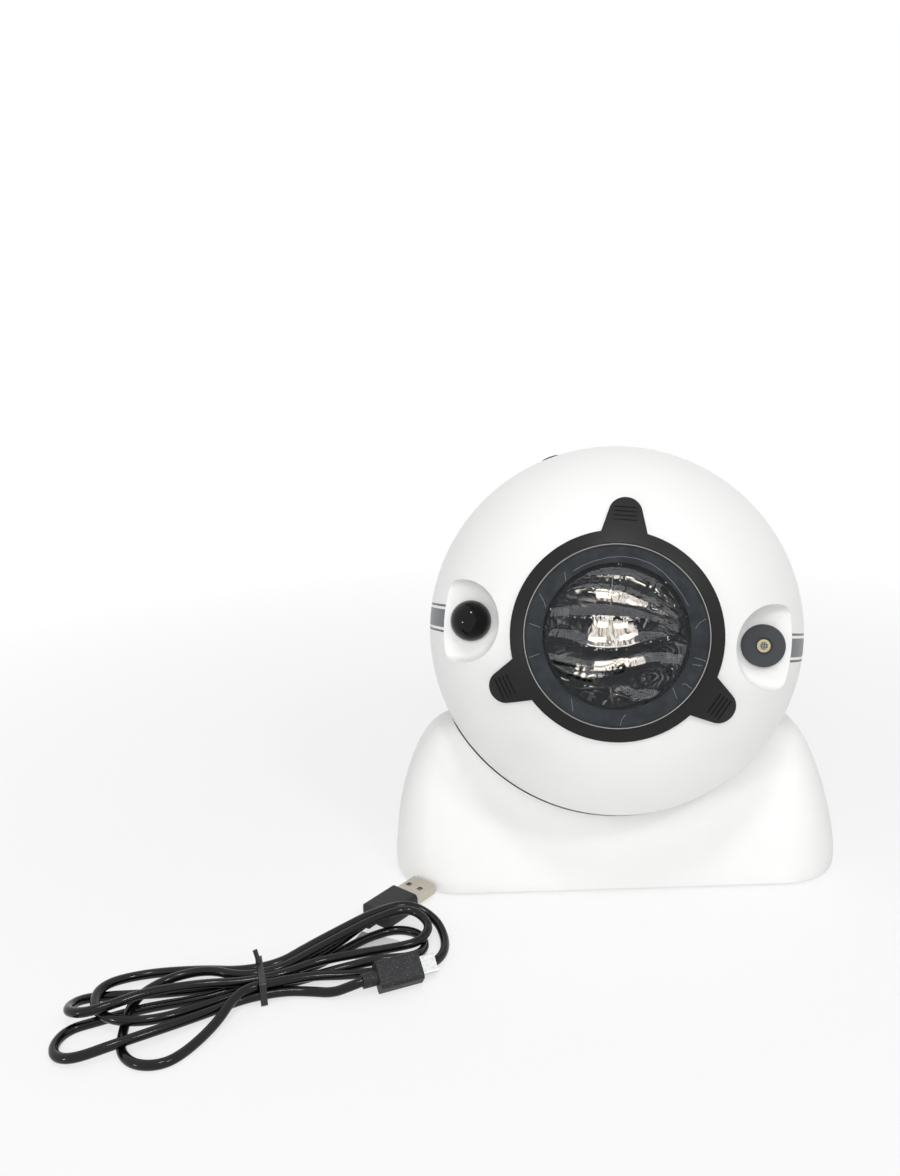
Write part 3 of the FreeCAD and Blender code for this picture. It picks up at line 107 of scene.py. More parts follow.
def start_material(name, colour, roughness, **shader_settings):
    """A material with its shader, and the place on the object that patterns read."""
    material = bpy.data.materials.new(name)
    material.use_nodes = True
    material.node_tree.nodes.clear()
    settings = {"Base Color": linear(colour), "Roughness": roughness}
    settings.update(shader_settings)
    shader = add_node(material, "ShaderNodeBsdfPrincipled", settings)
    add_node(material, "ShaderNodeOutputMaterial", links=[("Surface", shader.outputs[0])])
    place = add_node(material, "ShaderNodeTexCoord").outputs["Object"]
    return material, shader, place


def grain(material, shader, place, size, depth, pale, dark, drift=30 * MM):
    """Moulded surface: a fine grain in relief, a slow drift of colour and uneven gloss.
    size is the grain's own size, and drift is how far apart the colour changes."""
    links = material.node_tree.links
    fine = add_node(material, "ShaderNodeTexNoise", {"Scale": 1 / size, "Detail": 2.0},
                    [("Vector", place)])
    bump = add_node(material, "ShaderNodeBump", {"Strength": 0.5, "Distance": depth},
                    [("Height", fine.outputs["Fac"])])
    links.new(bump.outputs["Normal"], shader.inputs["Normal"])
    slow = add_node(material, "ShaderNodeTexNoise", {"Scale": 1 / drift, "Detail": 3.0},
                    [("Vector", place)])
    tint = add_node(material, "ShaderNodeMix",
                    {"data_type": "RGBA", 6: linear(pale), 7: linear(dark)},
                    [(0, slow.outputs["Fac"])])
    links.new(tint.outputs[2], shader.inputs["Base Color"])
    base_roughness = shader.inputs["Roughness"].default_value
    gloss = add_node(material, "ShaderNodeMapRange",
                     {"To Min": base_roughness * 0.85, "To Max": base_roughness * 1.15},
                     [("Value", fine.outputs["Fac"])])
    links.new(gloss.outputs["Result"], shader.inputs["Roughness"])
    return tint


def dress(material, slot_name, *node_names):
    """Gives CAD nodes their finish."""
    for node_name in node_names:
        mesh = nodes[node_name].data
        mesh.materials.clear()
        mesh.materials.append(material)


# Plan and height of the cord's line in millimetres, from the large plug to the small one.
CORD_LINE = (
    (-108.3, -64.7, 3.75), (-112.2, -69.3, 3.6), (-121.5, -80.0, 2.3), (-130.5, -88.8, 2.4),
    (-138.7, -95.4, 2.95), (-152.2, -99.1, 2.95),
    # narrow loop at the left
    (-166.0, -102.2, 2.2), (-184.0, -103.2, 1.75), (-201.5, -103.6, 1.75), (-208.4, -106.4, 2.8),
    (-210.6, -112.7, 4.8), (-208.4, -119.0, 7.0), (-201.5, -122.0, 8.6), (-192.5, -118.2, 9.1),
    (-183.0, -112.0, 8.9), (-165.0, -105.5, 7.0), (-150.8, -104.1, 5.98), (-137.3, -100.5, 5.98),
    # second loop at the right
    (-126.0, -92.6, 5.6), (-112.5, -88.4, 5.4), (-95.0, -84.6, 5.4), (-86.0, -81.2, 5.4),
    (-82.2, -71.6, 6.7), (-91.0, -63.2, 9.3), (-104.8, -71.0, 9.3), (-117.0, -79.8, 7.9),
    (-129.0, -88.8, 6.5), (-138.2, -97.1, 5.98), (-151.7, -100.8, 5.98),
    # front loop at the left
    (-165.0, -95.6, 6.2), (-180.0, -100.0, 5.4), (-188.5, -111.0, 5.2), (-188.5, -124.0, 1.75),
    (-186.4, -134.0, 1.75), (-179.6, -140.4, 1.75), (-170.2, -140.5, 1.75), (-163.6, -134.0, 1.75),
    (-156.5, -122.0, 2.8), (-152.6, -114.0, 6.0), (-148.5, -107.6, 6.1), (-136.4, -103.9, 5.98),
    # outer loop at the right
    (-125.5, -100.3, 5.2), (-112.5, -97.0, 2.6), (-98.0, -93.4, 1.75), (-84.0, -92.8, 1.75),
    (-77.4, -85.0, 1.75), (-76.8, -74.0, 1.9), (-80.8, -64.6, 5.0), (-91.5, -60.4, 9.4),
    (-104.5, -66.4, 9.6), (-118.0, -75.8, 7.9), (-130.0, -84.8, 6.5), (-139.1, -93.75, 5.98),
    (-152.65, -97.4, 5.98),
    # back loop at the left
    (-167.0, -92.0, 3.4), (-189.0, -92.5, 3.0), (-203.0, -102.0, 5.4), (-201.5, -115.0, 5.4),
    (-192.0, -122.8, 5.6), (-177.0, -122.5, 5.0), (-160.8, -111.6, 3.2), (-150.4, -105.8, 2.95),
    (-136.9, -102.2, 2.95),
    # inner loop at the right
    (-124.5, -95.8, 2.2), (-113.0, -92.2, 3.0), (-101.0, -90.8, 4.8), (-89.0, -89.8, 4.4),
    (-84.2, -80.5, 1.9), (-86.4, -70.6, 1.75), (-96.0, -66.6, 1.75), (-107.0, -71.6, 1.75),
    (-116.0, -79.6, 1.75), (-125.5, -89.8, 2.0), (-137.8, -98.8, 2.95), (-151.3, -102.4, 2.95),
    # lower loop at the left
    (-165.0, -107.2, 1.8), (-184.0, -110.8, 1.75), (-199.0, -117.4, 1.75),
    (-207.8, -121.2, 1.75), (-210.5, -128.4, 1.75), (-207.8, -135.6, 2.2), (-200.5, -138.6, 3.4),
    (-188.0, -134.4, 5.3),
    (-172.0, -125.0, 4.6), (-159.0, -115.4, 3.0), (-149.5, -109.2, 2.95), (-136.0, -105.6, 2.95),
    (-126.5, -104.8, 1.9), (-118.0, -106.6, 2.2), (-111.4, -106.8, 4.8), (-107.1, -105.2, 5.5),
)
cord_data = bpy.data.curves.new("power_cord", "CURVE")
cord_data.dimensions = "3D"
cord_line = cord_data.splines.new("NURBS")
cord_line.points.add(len(CORD_LINE) - 1)
for point, (x, y, z) in zip(cord_line.points, CORD_LINE):
    point.co = (x * MM, y * MM, z * MM, 1.0)
cord_line.order_u = 3
cord_line.use_endpoint_u = True
cord_data.bevel_depth = CORD_DIAMETER / 2
cord_data.bevel_resolution = 4
cord_data.resolution_u = 10
cord_data.use_fill_caps = True
power_cord = bpy.data.objects.new("power_cord", cord_data)
bpy.context.scene.collection.objects.link(power_cord)
# Extruded vinyl: deep black and shiny, with shallow ripples along its length that break up
# the streaks of light.
cord_vinyl, shader, place = start_material("extruded_black_vinyl", "0b0b0c", 0.14)
shader.inputs["Specular IOR Level"].default_value = 0.32
grain(cord_vinyl, shader, place, 2.5 * MM, 0.05 * MM, "0e0e0f", "080809")
cord_data.materials.append(cord_vinyl)
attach(power_cord, "base")
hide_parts("lead_hank")

# ---------------------------------------------------------------- plugs
# The large and the small plug: sheet metal shells, stamped, folded and plated bright. Black
# vinyl grips are moulded round the shells and the ends of the cord.

# Moulded vinyl: dull black, with a fine grain that softens its edges of light.
grip_vinyl, shader, place = start_material("moulded_black_vinyl", "1c1c1e", 0.5)
shader.inputs["Specular IOR Level"].default_value = 0.35
grain(grip_vinyl, shader, place, 0.7 * MM, 0.12 * MM, "222224", "161617")
dress(grip_vinyl, "grip_pvc", "usb_a_grip")
# The small grip's mould is stippled by spark erosion: coarse pits in relief, and pale specks
# in its colour as painted glints of the stipple, drawn as large as they need to be to show.
SPECK_SPACING = 0.55 * MM
SPECK_CORE = 0.12
SPECK_EDGE = 0.34
stippled, shader, place = start_material("stippled_black_vinyl_painted_glints", "1a1a1b", 0.5)
shader.inputs["Specular IOR Level"].default_value = 0.35
grain(stippled, shader, place, 0.5 * MM, 0.25 * MM, "202021", "141415")
glint_specks = add_node(stippled, "ShaderNodeTexVoronoi", {"Scale": 1 / SPECK_SPACING},
                  [("Vector", place)])
glint_speck = add_node(stippled, "ShaderNodeMapRange",
                 {"From Min": SPECK_CORE, "From Max": SPECK_EDGE, "To Min": 1.0, "To Max": 0.0},
                 [("Value", glint_specks.outputs["Distance"])])
# painted glints: pale specks on the black vinyl
tint = add_node(stippled, "ShaderNodeMix",
                {"data_type": "RGBA", 6: linear("1d1d1f"), 7: linear("56585c")},
                [(0, glint_speck.outputs["Result"])])
stippled.node_tree.links.new(tint.outputs[2], shader.inputs["Base Color"])
dress(stippled, "grip_pvc", "micro_grip")
# Nickel plate on brass sheet: bright, a little warm and brushed flat.
plug_nickel, shader, place = start_material("nickel_plated_sheet", "c6c0b4", 0.3, Metallic=1.0)
grain(plug_nickel, shader, place, 0.9 * MM, 0.02 * MM, "cec8bc", "b6af9f")
dress(plug_nickel, "plug_metal", "usb_a_shell", "usb_socket")
# Stamped stainless sheet: nearly white, with small darker dents from the stamping.
plug_steel, shader, place = start_material("stamped_steel_sheet", "e6e6e4", 0.3, Metallic=1.0)
grain(plug_steel, shader, place, 0.9 * MM, 0.05 * MM, "fbfbfa", "a4a6a8", drift=0.9 * MM)
dress(plug_steel, "plug_metal", "micro_shell")
# White nylon: plain and slightly dull.
tongue, shader, place = start_material("white_plug_tongue", "e4e2dc", 0.5)
grain(tongue, shader, place, 0.6 * MM, 0.02 * MM, "e8e6e0", "dcdad3")
dress(tongue, "tongue_plastic", "usb_a_tongue")

# ---------------------------------------------------------------- twist tie
# A steel wire in a flat black vinyl strip, wound once round the cord's eight passes and
# twisted on top, where its tail stands up.

# Drawn vinyl: black, half shiny, with slight ripples from the winding.
tie_vinyl, shader, place = start_material("twist_tie_vinyl", "19191b", 0.3)
grain(tie_vinyl, shader, place, 0.8 * MM, 0.05 * MM, "1f1f21", "131315")
dress(tie_vinyl, "tie_wire", "cable_tie")

# ---------------------------------------------------------------- paper flag
# A blank square of coated paper, folded round the cord near the large plug and stuck to
# itself. It lies flat on the table under the loops.

# Coated paper: a soft white, with the faint fibres that a thin coating leaves.
paper, shader, place = start_material("coated_white_paper", "e6e6e8", 0.6)
grain(paper, shader, place, 0.25 * MM, 0.02 * MM, "eaeaec", "dededf")
FLAG_SIDE = 17.0 * MM
FLAG_THICKNESS = 0.15 * MM
FLAG_PLACE = (-106.2 * MM, -77.0 * MM, 0.45 * MM)
FLAG_TURN = math.radians(-25.0)
bpy.ops.mesh.primitive_grid_add(x_subdivisions=12, y_subdivisions=12, size=FLAG_SIDE,
                                location=FLAG_PLACE, rotation=(0.0, 0.0, FLAG_TURN))
paper_flag = bpy.context.object
paper_flag.name = "paper_flag"
bpy.ops.object.transform_apply(location=True, rotation=True, scale=True)
bpy.ops.object.modifier_add(type="SOLIDIFY")
paper_flag.modifiers[-1].thickness = FLAG_THICKNESS
bpy.ops.object.modifier_apply(modifier=paper_flag.modifiers[-1].name)
paper_flag.data.materials.append(paper)
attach(paper_flag, "base")
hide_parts("lead_flag")
paper_flag.select_set(False)

# ---------------------------------------------------------------- base
# The saddle: one white ABS moulding with high shoulders, closed from below by a screwed
# cover. The ball turns on a soft ring at the bottom of its cradle.

# Moulded ABS: a clean white with a fine spark-eroded grain that keeps its gloss low.
base_white, shader, place = start_material("moulded_white_abs", "f3f3f2", 0.42)
grain(base_white, shader, place, 0.5 * MM, 0.015 * MM, "f5f5f4", "efefee")
dress(base_white, "white_shell", "base_shell", "base_cover")
# Moulded rubber: near black and dull, dusty in its grain.
rubber, shader, place = start_material("foot_rubber", "262628", 0.75)
grain(rubber, shader, place, 0.8 * MM, 0.06 * MM, "2b2b2d", "202022")
dress(rubber, "foot_rubber", "foot_pad", "seat_ring")

# ---------------------------------------------------------------- ball shells
# Two half shells of white ABS, joined at the seam by four screws from behind. A grey band
# between two thin lines is printed along each side, from the pocket to behind the seam.
BALL_CENTRE = Vector((0.0, 0.0, 0.104))
LENS_PAN = math.radians(-8.5)
LENS_TILT = math.radians(14.6)
BALL_ROLL = math.radians(4.2)
lens_turn = Matrix.Rotation(LENS_PAN, 4, "Z") @ Matrix.Rotation(-LENS_TILT, 4, "X")
lens_place = Matrix.Translation(BALL_CENTRE) @ lens_turn
ball_turn = lens_turn @ Matrix.Rotation(BALL_ROLL, 4, "Y")
BELT_HALF_WIDTH = 3.7 * MM
BELT_LINE_FROM = 4.8 * MM
BELT_LINE_TO = 5.7 * MM
BELT_FRONT_END = -40.8 * MM
BELT_BACK_END = 52.0 * MM


def ball_coordinates(material, place):
    """The place seen from the ball itself: origin at its centre, lens towards -Y."""
    return add_node(material, "ShaderNodeMapping",
                    {"vector_type": "TEXTURE", "Location": BALL_CENTRE,
                     "Rotation": ball_turn.to_euler()},
                    [("Vector", place)]).outputs[0]


# Moulded ABS, as on the base, with a slightly glossier grain and grey pad-printed bands.
ball_white, shader, place = start_material("moulded_white_ball_abs", "f3f3f2", 0.36)
tint = grain(ball_white, shader, place, 0.5 * MM, 0.012 * MM, "f5f5f4", "efefee")
own_place = ball_coordinates(ball_white, place)
axes = add_node(ball_white, "ShaderNodeSeparateXYZ", links=[(0, own_place)])
off_belt = add_node(ball_white, "ShaderNodeMath", {"operation": "ABSOLUTE"},
                    [(0, axes.outputs["Z"])])
belt_share = add_node(ball_white, "ShaderNodeMapRange", {"From Max": BELT_LINE_TO},
                      [("Value", off_belt.outputs[0])])
belt = add_node(ball_white, "ShaderNodeValToRGB", links=[(0, belt_share.outputs["Result"])])
belt.color_ramp.interpolation = "CONSTANT"
belt.color_ramp.elements[0].position = 0.0
belt.color_ramp.elements[0].color = linear("5a5c60")
belt.color_ramp.elements[1].position = BELT_HALF_WIDTH / BELT_LINE_TO
belt.color_ramp.elements[1].color = linear("f3f3f2")
belt.color_ramp.elements.new(BELT_LINE_FROM / BELT_LINE_TO).color = linear("3b3d3f")
behind_pocket = add_node(ball_white, "ShaderNodeMath",
                         {"operation": "GREATER_THAN", 1: BELT_FRONT_END},
                         [(0, axes.outputs["Y"])])
before_end = add_node(ball_white, "ShaderNodeMath", {"operation": "LESS_THAN", 1: BELT_BACK_END},
                      [(0, axes.outputs["Y"])])
near_belt = add_node(ball_white, "ShaderNodeMath", {"operation": "LESS_THAN", 1: BELT_LINE_TO},
                     [(0, off_belt.outputs[0])])
on_side = add_node(ball_white, "ShaderNodeMath", {"operation": "MULTIPLY"},
                   [(0, behind_pocket.outputs[0]), (1, before_end.outputs[0])])
on_belt = add_node(ball_white, "ShaderNodeMath", {"operation": "MULTIPLY"},
                   [(0, on_side.outputs[0]), (1, near_belt.outputs[0])])
printed = add_node(ball_white, "ShaderNodeMix", {"data_type": "RGBA"},
                   [(0, on_belt.outputs[0]), (6, tint.outputs[2]), (7, belt.outputs["Color"])])
ball_white.node_tree.links.new(printed.outputs[2], shader.inputs["Base Color"])
dress(ball_white, "white_shell", "front_shell", "rear_shell")

# ---------------------------------------------------------------- focus ring and buttons
# A flat black ABS ring with three tabs to turn it by, snapped into a collar of the front
# shell. The four buttons at the top rear are moulded in the same black.

# Moulded black ABS: deep and even, with a matt grain that greys only where light grazes it.
ring_black, shader, place = start_material("matt_black_abs", "131314", 0.42)
shader.inputs["Specular IOR Level"].default_value = 0.28
grain(ring_black, shader, place, 0.5 * MM, 0.03 * MM, "161617", "101011")
dress(ring_black, "black_ring", "focus_ring")
dress(ring_black, "black_button", "button_power", "button_stars", "button_clouds", "button_timer")
# The barrel's and the tube's black ABS is blasted, so that it throws no light back.
barrel_black, shader, place = start_material("dull_black_barrel", "0c0c0d", 0.6)
shader.inputs["Specular IOR Level"].default_value = 0.2
grain(barrel_black, shader, place, 0.6 * MM, 0.02 * MM, "0f0f10", "0a0a0b")
dress(barrel_black, "black_barrel", "lens_barrel", "light_tube")

# ---------------------------------------------------------------- smoked rim of the lens
# An injection-moulded acrylic annulus, tinted dark grey, with fine flow lines that run in from
# its edge, coloured bright grey as a painted glint. It is glued to the front of the lens barrel.

# Smoked acrylic: dark, half gloss, with soft clouds of paler and darker smoke.
smoke, shader, place = start_material("smoked_acrylic", "26282c", 0.24)
shader.inputs["Specular IOR Level"].default_value = 0.22
grain(smoke, shader, place, 0.9 * MM, 0.03 * MM, "3a3e43", "16181a", drift=6 * MM)
dress(smoke, "smoked_bezel", "lens_bezel")
BEZEL_FACE = -72.9 * MM
FLOW_LINE_RADIUS = 0.1 * MM
# Points along each flow line, right and up from the lens axis in millimetres. The last and
# longest is a painted highlight that follows the lens round its top.
FLOW_LINES_AND_EDGE_HIGHLIGHT = (
    ((-28.2, 15.4), (-26.6, 12.6), (-25.9, 10.5)), ((-31.9, 4.3), (-28.0, 2.9)),
    ((-31.9, -8.4), (-28.0, -6.9)), ((32.3, 6.7), (30.2, 5.4), (28.6, 3.2)),
    ((32.4, -8.7), (28.3, -7.4)), ((27.3, -18.8), (25.3, -17.2), (23.9, -17.2)),
    ((1.7, -33.0), (2.3, -30.6), (3.6, -28.8)), ((-16.2, -23.5), (-15.6, -28.1)),
    ((20.6, -18.6), (22.1, -22.6)), ((-19.0, 23.7), (-18.6, 20.4)), ((31.0, -10.4), (27.6, -10.0)),
    # painted highlight along the top edge of the lens, drawn like a flow line
    ((-15.8, 24.0), (-12.4, 26.0), (-8.0, 27.8), (-3.0, 29.0), (2.2, 29.4), (7.5, 28.6),
     (12.5, 26.8), (17.0, 23.6), (20.8, 19.5), (23.8, 15.4), (26.0, 11.4)),
)
bpy.ops.object.select_all(action="DESELECT")
for flow_line in FLOW_LINES_AND_EDGE_HIGHLIGHT:
    for (x_from, z_from), (x_to, z_to) in zip(flow_line, flow_line[1:]):
        run = Vector((x_to - x_from, 0.0, z_to - z_from)) * MM
        middle = Vector(((x_from + x_to) / 2 * MM, BEZEL_FACE, (z_from + z_to) / 2 * MM))
        bpy.ops.mesh.primitive_cylinder_add(vertices=6, radius=FLOW_LINE_RADIUS,
                                            depth=run.length)
        line = bpy.context.object
        line.matrix_world = (Matrix.Translation(middle)
                             @ run.to_track_quat("Z", "Y").to_matrix().to_4x4())
        line.name = "flow_line"
        bpy.ops.object.transform_apply(location=True, rotation=True, scale=True)
bpy.ops.object.select_all(action="DESELECT")
flow_parts = [part for part in bpy.context.scene.objects if part.name.startswith("flow_line")]
for part in flow_parts:
    part.select_set(True)
bpy.context.view_layer.objects.active = flow_parts[0]
bpy.ops.object.join()
flow_lines = bpy.context.object
flow_lines.name = "flow_lines"
flow_lines.matrix_world = lens_place
bpy.ops.object.transform_apply(location=True, rotation=True, scale=True)
# The flow lines are cold seams in the acrylic. Their bright grey is a painted glint for the
# light they catch along part of their run, and on the longest a painted highlight.
glint, shader, place = start_material("bright_flow_line", "787c82", 0.3)
grain(glint, shader, place, 0.6 * MM, 0.02 * MM, "8d9197", "5c6167", drift=3 * MM)
flow_lines.data.materials.append(glint)
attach(flow_lines, "lens")
flow_lines.select_set(False)

# ---------------------------------------------------------------- bright line
# A thin black ring between the smoked rim and the focus ring. One bright line is turned into
# its face and rides with the lens barrel.
CUT_LINE_RADIUS = 34.0 * MM
CUT_LINE_WIDTH = 0.28 * MM
# Black ring with one bare bright cut, so the eye sees a single fine circle.
bright, shader, place = start_material("bright_cut_line", "b9b8b2", 0.3)
own_place = ball_coordinates(bright, place)
axes = add_node(bright, "ShaderNodeSeparateXYZ", links=[(0, own_place)])
flat_place = add_node(bright, "ShaderNodeCombineXYZ",
                      links=[(0, axes.outputs["X"]), (1, axes.outputs["Z"])])
from_axis = add_node(bright, "ShaderNodeVectorMath", {"operation": "LENGTH"},
                     [(0, flat_place.outputs[0])])
on_cut = add_node(bright, "ShaderNodeMath",
                  {"operation": "COMPARE", 1: CUT_LINE_RADIUS, 2: CUT_LINE_WIDTH / 2},
                  [(0, from_axis.outputs["Value"])])
tint = add_node(bright, "ShaderNodeMix",
                {"data_type": "RGBA", 6: linear("1b1b1c"), 7: linear("a3a29d")},
                [(0, on_cut.outputs[0])])
bright.node_tree.links.new(tint.outputs[2], shader.inputs["Base Color"])
dress(bright, "bright_trim", "trim_ring")

# ---------------------------------------------------------------- wavy lens
# Clear moulded acrylic with a domed front. Sharp valleys cross it like ripples on water, and
# the glass between them swells into bands that bend the lamp's light into clouds.
LENS_REACH = 26.7 * MM
LENS_EDGE = 3.2 * MM
LENS_EDGE_FACE = -74.4 * MM
LENS_DOME = 1.6 * MM
LENS_RINGS = 62
LENS_SECTORS = 192
MERGE_REACH = 0.01 * MM
CROWN_REACH = 0.2 * MM
VALLEY_DEPTH = 1.5 * MM
VALLEY_FLOOR = 0.3 * MM
VALLEY_REACH = 5.0 * MM
VALLEY_LIMIT = 26.4 * MM
# Points along each valley, right and up from the lens axis in millimetres.
VALLEYS = (
    ((-19.0, 18.4), (-11.6, 22.1), (-3.0, 22.7), (5.5, 21.8), (15.0, 17.5), (23.6, 9.9)),
    ((-25.8, 6.5), (-16.0, 7.5), (-7.0, 7.7), (9.4, 7.0), (16.0, 5.0), (21.9, 1.9)),
    ((-26.4, 0.8), (-15.0, -2.0), (-8.0, -4.0), (-2.5, -4.3), (4.0, -3.6), (10.6, -1.5),
     (23.1, 1.4)),
    ((-25.8, -10.3), (-12.0, -12.6), (-3.6, -12.8), (5.5, -11.1), (13.4, -8.9), (24.8, -10.6)),
    ((-24.7, -11.1), (-11.6, -15.7), (-3.6, -15.1), (2.0, -12.5)),
    ((-20.0, -13.5), (-6.5, -17.1), (0.0, -20.6), (6.6, -23.6), (13.4, -23.2)),
    ((-22.0, 15.2), (-12.0, 17.8), (2.0, 16.6), (14.0, 11.5), (22.0, 6.2)),
)


def near_line(x, z, line, reach):
    """Whether a place lies within reach of a line of points in millimetres."""
    for (x_a, z_a), (x_b, z_b) in zip(line, line[1:]):
        run = Vector(((x_b - x_a) * MM, (z_b - z_a) * MM))
        off = Vector((x - x_a * MM, z - z_a * MM))
        share = min(max(off.dot(run) / run.dot(run), 0.0), 1.0)
        if (off - run * share).length < reach:
            return True
    return False


def pick_vertices(piece, wanted):
    """Selects, in edit mode, the vertices whose place passes a test."""
    bpy.ops.object.mode_set(mode="EDIT")
    bpy.ops.mesh.select_mode(type="VERT")
    bpy.ops.mesh.select_all(action="DESELECT")
    bpy.ops.object.mode_set(mode="OBJECT")
    for vertex in piece.data.vertices:
        vertex.select = wanted(vertex.co)
    bpy.ops.object.mode_set(mode="EDIT")


def within(place, reach):
    """Whether a place on the lens lies within reach of its axis."""
    return place.x**2 + place.z**2 < reach**2


bpy.ops.mesh.primitive_grid_add(x_subdivisions=LENS_RINGS, y_subdivisions=1, size=LENS_REACH,
                                location=(LENS_REACH / 2, LENS_REACH / 2, 0.0))
wavy_lens = bpy.context.object
wavy_lens.name = "wavy_lens"
bpy.ops.object.transform_apply(location=True, rotation=True, scale=True)
pick_vertices(wavy_lens, lambda place: place.y > LENS_REACH / 2)
bpy.ops.mesh.delete(type="VERT")
bpy.ops.mesh.select_all(action="SELECT")
bpy.ops.mesh.spin(steps=LENS_SECTORS, angle=math.tau, center=(0.0, 0.0, 0.0), axis=(0.0, 1.0, 0.0))
bpy.ops.mesh.select_all(action="SELECT")
bpy.ops.mesh.remove_doubles(threshold=MERGE_REACH)
bpy.ops.object.mode_set(mode="OBJECT")
pick_vertices(wavy_lens, lambda place: within(place, CROWN_REACH))
bpy.ops.transform.translate(value=(0.0, -LENS_DOME, 0.0), use_proportional_edit=True,
                            proportional_edit_falloff="SPHERE", proportional_size=LENS_REACH)
bpy.ops.object.mode_set(mode="OBJECT")
for valley in VALLEYS:
    pick_vertices(wavy_lens, lambda place: near_line(place.x, place.z, valley, VALLEY_FLOOR)
                  and within(place, VALLEY_LIMIT))
    bpy.ops.transform.translate(value=(0.0, VALLEY_DEPTH, 0.0), use_proportional_edit=True,
                                proportional_edit_falloff="SHARP", proportional_size=VALLEY_REACH)
    bpy.ops.object.mode_set(mode="OBJECT")
pick_vertices(wavy_lens, lambda place: not within(place, LENS_REACH - MERGE_REACH))
bpy.ops.mesh.extrude_region_move(TRANSFORM_OT_translate={"value": (0.0, LENS_EDGE, 0.0)})
bpy.ops.transform.resize(value=(1.0, 0.0, 1.0), center_override=(0.0, LENS_EDGE, 0.0))
bpy.ops.mesh.edge_face_add()
bpy.ops.mesh.select_all(action="SELECT")
bpy.ops.mesh.normals_make_consistent(inside=False)
bpy.ops.object.mode_set(mode="OBJECT")
bpy.ops.object.shade_smooth_by_angle(angle=math.radians(35))
wavy_lens.matrix_world = lens_place @ Matrix.Translation((0.0, LENS_EDGE_FACE, 0.0))
bpy.ops.object.transform_apply(location=True, rotation=True, scale=True)
# Clear moulded acrylic: polished, faintly grey in its reflections, with slow moulding ripples.
clear, shader, place = start_material("clear_acrylic", "f7f6f6", 0.02, IOR=1.49)
shader.inputs["Transmission Weight"].default_value = 1.0
shader.inputs["Specular Tint"].default_value = linear("a2a5a9")
grain(clear, shader, place, 3.0 * MM, 0.002 * MM, "f8f7f7", "f4f3f3")
wavy_lens.data.materials.append(clear)
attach(wavy_lens, "lens")
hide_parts("front_lens")
wavy_lens.select_set(False)

# ---------------------------------------------------------------- lamp optics
# Behind the lens: polished clear discs, and a plated cup whose dull walls narrow to the white
# board that the four light sources stand on. Cup and board carry painted reflections and light.
FACET_WIDTH = 2.6 * MM
FACET_HEIGHT = 21.7 * MM
FACET_DEPTH = 0.3 * MM
SEAM_PLACE = -1.5 * MM
SEAM_HALF_WIDTH = 0.35 * MM
LIGHT_COLUMN_WIDTH = 1.5 * MM
LIGHT_COLUMN_HEIGHT = 10.0 * MM
# Clear moulded acrylic that the light meets head on, so it bends less than its edges would.
inner_clear, shader, place = start_material("clear_inner_acrylic", "f7f6f6", 0.02, IOR=1.12)
shader.inputs["Transmission Weight"].default_value = 1.0
shader.inputs["Specular Tint"].default_value = linear("8c8f94")
grain(inner_clear, shader, place, 3.0 * MM, 0.002 * MM, "f8f7f7", "f4f3f3")
dress(inner_clear, "clear_lens", "condenser_lens")
dress(inner_clear, "clear_disc", "ripple_disc")
# Vacuum plating on a fluted moulding, coloured with painted reflections: near black walls for
# the dark surroundings it mirrors, upright grey facets for lit streaks, and a painted highlight
# down the seam where the mould's halves met.
mirror, shader, place = start_material("plated_cup_painted_reflections", "3a3c40", 0.12, Metallic=1.0)
shader.inputs["Specular Tint"].default_value = linear("3c3e42")
own_place = ball_coordinates(mirror, place)
upright = add_node(mirror, "ShaderNodeMapping",
                   {"Scale": (1.0, 1.0, FACET_WIDTH / FACET_HEIGHT)}, [("Vector", own_place)])
facets = add_node(mirror, "ShaderNodeTexNoise", {"Scale": 1 / FACET_WIDTH, "Detail": 2.0},
                  [("Vector", upright.outputs[0])])
facet_painted_reflection = add_node(mirror, "ShaderNodeMapRange", {"From Min": 0.48, "From Max": 0.68},
                      [("Value", facets.outputs["Fac"])])
# painted reflections: the plating's colour runs from near black to grey by facet
tint = add_node(mirror, "ShaderNodeMix",
                {"data_type": "RGBA", 6: linear("070708"), 7: linear("8d9095")},
                [(0, facet_painted_reflection.outputs["Result"])])
axes = add_node(mirror, "ShaderNodeSeparateXYZ", links=[(0, own_place)])
seam_painted_highlight = add_node(mirror, "ShaderNodeMath",
                   {"operation": "COMPARE", 1: SEAM_PLACE, 2: SEAM_HALF_WIDTH},
                   [(0, axes.outputs["X"])])
# painted highlight: a pale line down the mould seam
tint = add_node(mirror, "ShaderNodeMix", {"data_type": "RGBA", 7: linear("d8dbe0")},
                [(0, seam_painted_highlight.outputs[0]), (6, tint.outputs[2])])
mirror.node_tree.links.new(tint.outputs[2], shader.inputs["Base Color"])
flutes = add_node(mirror, "ShaderNodeBump", {"Strength": 0.6, "Distance": FACET_DEPTH},
                  [("Height", facets.outputs["Fac"])])
mirror.node_tree.links.new(flutes.outputs["Normal"], shader.inputs["Normal"])
dress(mirror, "mirror_cup", "reflector")
